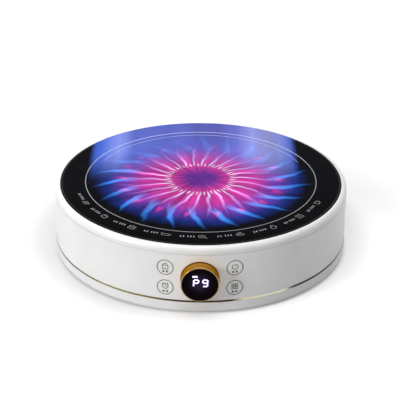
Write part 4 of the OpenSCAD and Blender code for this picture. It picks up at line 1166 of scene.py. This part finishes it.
@dataclass
class Readout(SubAssembly):
    """The window in its barrel, and the lit digits that show through it."""

    digit_w: float = 4.3
    digit_h: float = 6.7
    digit_places: tuple[tuple[str, float], ...] = (("abefg", -3.6), ("abcdfg", 4.8))
    digit_up: float = 1.7
    slant: float = 0.05
    pen: float = 1.3
    gap: float = 0.3
    bar_from: Range = (-6.9, 8.3)
    bar_to: Range = (-2.2, 8.3)
    bar_pen: float = 1.8

    @staticmethod
    def face() -> np.ndarray:
        """Gives the middle of the window's front face, in millimetres."""
        low, high = (np.array(corner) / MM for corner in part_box("display_window"))
        return np.array([(low[0] + high[0]) / 2, low[1], (low[2] + high[2]) / 2])

    def dressing(self) -> Dressing:
        """Gives each finish with the nodes that have it."""
        # Polished smoked acrylic: near black and glossy, with a painted violet bloom of light round the
        # digits
        window = SmokedAcrylic(
            "polished_smoked_acrylic", "#080306", 0.08, ior=1.08,
            bloom_at=tuple(self.face() + [0, 0, self.digit_up]))
        return {window: ("display_window",), Finishes.EPOXY: ("display_barrel",)}

    def strokes(self) -> list[Stroke]:
        """Draws the lit segments of both digits, and the bar over the first one.

        Each segment runs between two of a digit's six corners, short of both by the gap.

        Returns:
            The strokes about the window's middle.
        """
        w, h = self.digit_w / 2, self.digit_h / 2
        ends = {
            "a": ((-w, h), (w, h)), "b": ((w, h), (w, 0)), "c": ((w, 0), (w, -h)),
            "d": ((w, -h), (-w, -h)), "e": ((-w, -h), (-w, 0)), "f": ((-w, 0), (-w, h)),
            "g": ((-w, 0), (w, 0)),
        }
        made = [Stroke(line(self.bar_from, self.bar_to), self.bar_pen)]
        for lit, place in self.digit_places:
            for segment in lit:
                path = line(*ends[segment])
                along = (path[1] - path[0]) / np.linalg.norm(path[1] - path[0])
                path += np.outer((1, -1), along) * self.gap
                path[:, 0] += self.slant * path[:, 1]
                made.append(Stroke(path + (place, self.digit_up), self.pen))
        return made

    def lay_prints(self) -> None:
        """Lays the digits on the window's face."""
        x, y, z = self.face()
        Print("readout_digits", self.strokes(), Finishes.SEGMENT, "housing", "smoked_window").lay(
            lambda rows: np.column_stack((rows[:, 0] + x, y - rows[:, 2], rows[:, 1] + z)))


@dataclass(frozen=True)
class Lamp:
    """A square soft lamp that faces the stove, in metres and watts."""

    name: str
    place: Point
    size: float
    watts: float

    def build(self) -> None:
        """Adds the lamp to the scene."""
        data = bpy.data.lights.new(self.name, "AREA")
        data.size = self.size
        data.energy = self.watts
        lamp = bpy.data.objects.new(self.name, data)
        lamp.location = self.place
        lamp.rotation_euler = (-lamp.location).to_track_quat("-Z", "Y").to_euler()
        bpy.context.scene.collection.objects.link(lamp)


@dataclass
class Studio:
    """The floor, the light and the camera at the photograph's angle, in metres and degrees.

    The camera sees the floor lifted towards white. The lift is greatest on one side of the stove,
    grows in three steps with the distance from it, and ends under it, where the floor stays dark.
    Where the lift stays low, close to the base and on the other side, it paints a soft shadow and a
    dark contact line round the stove, over the lamps' own shadow.
    """

    elevation: float = 26.79
    roll: float = 0.48
    distance: float = 1.444
    target_z: float = 0.0375
    sensor_mm: float = 36.0
    focal_px: float = 1434.2
    image_px: float = 400.0
    target_px: Range = (200.6, 207.75)
    floor_radius: float = 8.0
    floor_steps: int = 96
    floor_colour: str = "#C4C4C4"
    floor_roughness: float = 0.9
    floor_ior: float = 1.1
    floor_lift: Range = (0.28, 0.49)
    lift_along: Point = (0.707, -0.707, 0.0)
    lift_from: Range = (0.2, 0.85)
    rim_lift: float = 0.14
    rim_middle: Point = (0.0, 0.015, 0.0)
    rim_from: Range = (0.158, 0.19)
    far_lift: float = 0.2
    far_from: Range = (0.2, 0.3)
    sweep_lift: float = 0.4
    sweep_from: Range = (0.8, 2.5)
    under_middle: Point = (0.0045, -0.001, 0.0)
    under_from: Range = (0.1325, 0.1455)
    ambient: float = 0.28
    lamps: tuple[Lamp, ...] = (
        Lamp("key", (-1.35, -1.0, 0.6), 0.5, 14.3), Lamp("top", (0.0, -0.2, 1.9), 1.4, 21.6),
        Lamp("back", (-0.6, 1.2, 1.0), 0.8, 5.0))

    def camera(self) -> None:
        """Sets the camera.

        Its lens gives the focal length in pixels, and its shift puts the target at its pixel.
        """
        data = bpy.data.cameras.new("camera")
        data.sensor_width = self.sensor_mm
        data.lens = self.sensor_mm * self.focal_px / self.image_px
        data.shift_x = 0.5 - self.target_px[0] / self.image_px
        data.shift_y = self.target_px[1] / self.image_px - 0.5
        camera = bpy.data.objects.new("camera", data)
        tilt = math.radians(self.elevation)
        camera.location = (
            0, -self.distance * math.cos(tilt), self.target_z + self.distance * math.sin(tilt))
        upright = Matrix.Rotation(math.pi / 2 - tilt, 3, "X")
        camera.rotation_euler = (upright @ Matrix.Rotation(math.radians(self.roll), 3, "Z")).to_euler()
        bpy.context.scene.collection.objects.link(camera)
        bpy.context.scene.camera = camera

    @staticmethod
    def seen(tree: Tree) -> Socket:
        """Gives 1 on rays that the camera sees straight, mirrored or through glass, and else 0.

        Args:
            tree: the node tree of the floor or the world.

        Returns:
            The output with the share.
        """
        rays = add_node(tree, "LightPath").node.outputs
        share = rays["Is Camera Ray"]
        for ray in ("Is Glossy Ray", "Is Transmission Ray"):
            share = add_node(tree, "Math", {0: share, 1: rays[ray]}, operation="MAXIMUM")
        return share

    def world(self) -> None:
        """Sets a white world that lights the scene with less than it shows."""
        world = bpy.data.worlds.new("studio")
        world.use_nodes = True
        bpy.context.scene.world = world
        tree = world.node_tree
        strength = add_node(
            tree, "MapRange", {"Value": self.seen(tree), "To Min": self.ambient, "To Max": 1.0})
        feed(tree.nodes["Background"], {"Color": linear(WHITE), "Strength": strength})

    def paper(self) -> bpy.types.Material:
        """Makes the floor's material, which keeps the stove's shadow and adds painted shadow round its
        base.

        Returns:
            The material.
        """
        # Matt white paper: no gloss, and so bright to the camera that it meets the white world
        made = bpy.data.materials.new("matt_white_paper")
        made.use_nodes = True
        tree = made.node_tree
        where = add_node(tree, "TexCoord", output="Object")
        towards = add_node(tree, "VectorMath", {0: where}, operation="NORMALIZE")
        along = add_node(tree, "VectorMath", {0: towards, 1: self.lift_along}, operation="DOT_PRODUCT")
        away, beside, below = (
            add_node(tree, "VectorMath", {0: where, 1: middle}, operation="DISTANCE")
            for middle in ((0.0, 0.0, 0.0), self.rim_middle, self.under_middle))
        # Lower lift near the base and on one side paints a soft shadow round the stove
        lift, rim, far, sweep, under = (
            add_node(
                tree, "MapRange",
                {"Value": value, "From Min": start, "From Max": end, "To Min": low, "To Max": high},
                interpolation_type="SMOOTHSTEP")
            for value, (start, end), (low, high) in (
                (along, self.lift_from, self.floor_lift),
                (beside, self.rim_from, (0.0, self.rim_lift)),
                (away, self.far_from, (0.0, self.far_lift)),
                (away, self.sweep_from, (0.0, self.sweep_lift)),
                (below, self.under_from, (0.0, 1.0))))
        for share, operation in (
                (rim, "ADD"), (far, "ADD"), (sweep, "ADD"), (under, "MULTIPLY"),
                (self.seen(tree), "MULTIPLY")):
            lift = add_node(tree, "Math", {0: lift, 1: share}, operation=operation)
        feed(tree.nodes["Principled BSDF"], {
            "Base Color": linear(self.floor_colour), "Roughness": self.floor_roughness,
            "IOR": self.floor_ior, "Emission Color": linear(WHITE), "Emission Strength": lift,
        })
        return made

    def floor(self) -> None:
        """Lays the round floor."""
        edge = arc((0, 0), self.floor_radius, steps=self.floor_steps)
        corners = np.column_stack((edge, np.zeros(len(edge))))
        mesh = bpy.data.meshes.new("floor")
        mesh.from_pydata(corners.tolist(), [], [list(range(len(edge)))])
        mesh.materials.append(self.paper())
        floor = bpy.data.objects.new("floor", mesh)
        bpy.context.scene.collection.objects.link(floor)

    def build(self) -> None:
        """Sets up the whole studio."""
        bpy.context.scene.view_settings.view_transform = "Standard"
        self.camera()
        self.world()
        self.floor()
        for lamp in self.lamps:
            lamp.build()


def main() -> None:
    """Sets up the studio, and dresses the stove's sub-assemblies in order."""
    logging.basicConfig(level=logging.INFO, format="%(message)s")
    Studio().build()
    for part in (Housing(), Heater(), Electronics(), Cooktop(), Buttons(), Knob(), Readout()):
        part.build()


if __name__ == "__main__":
    main()
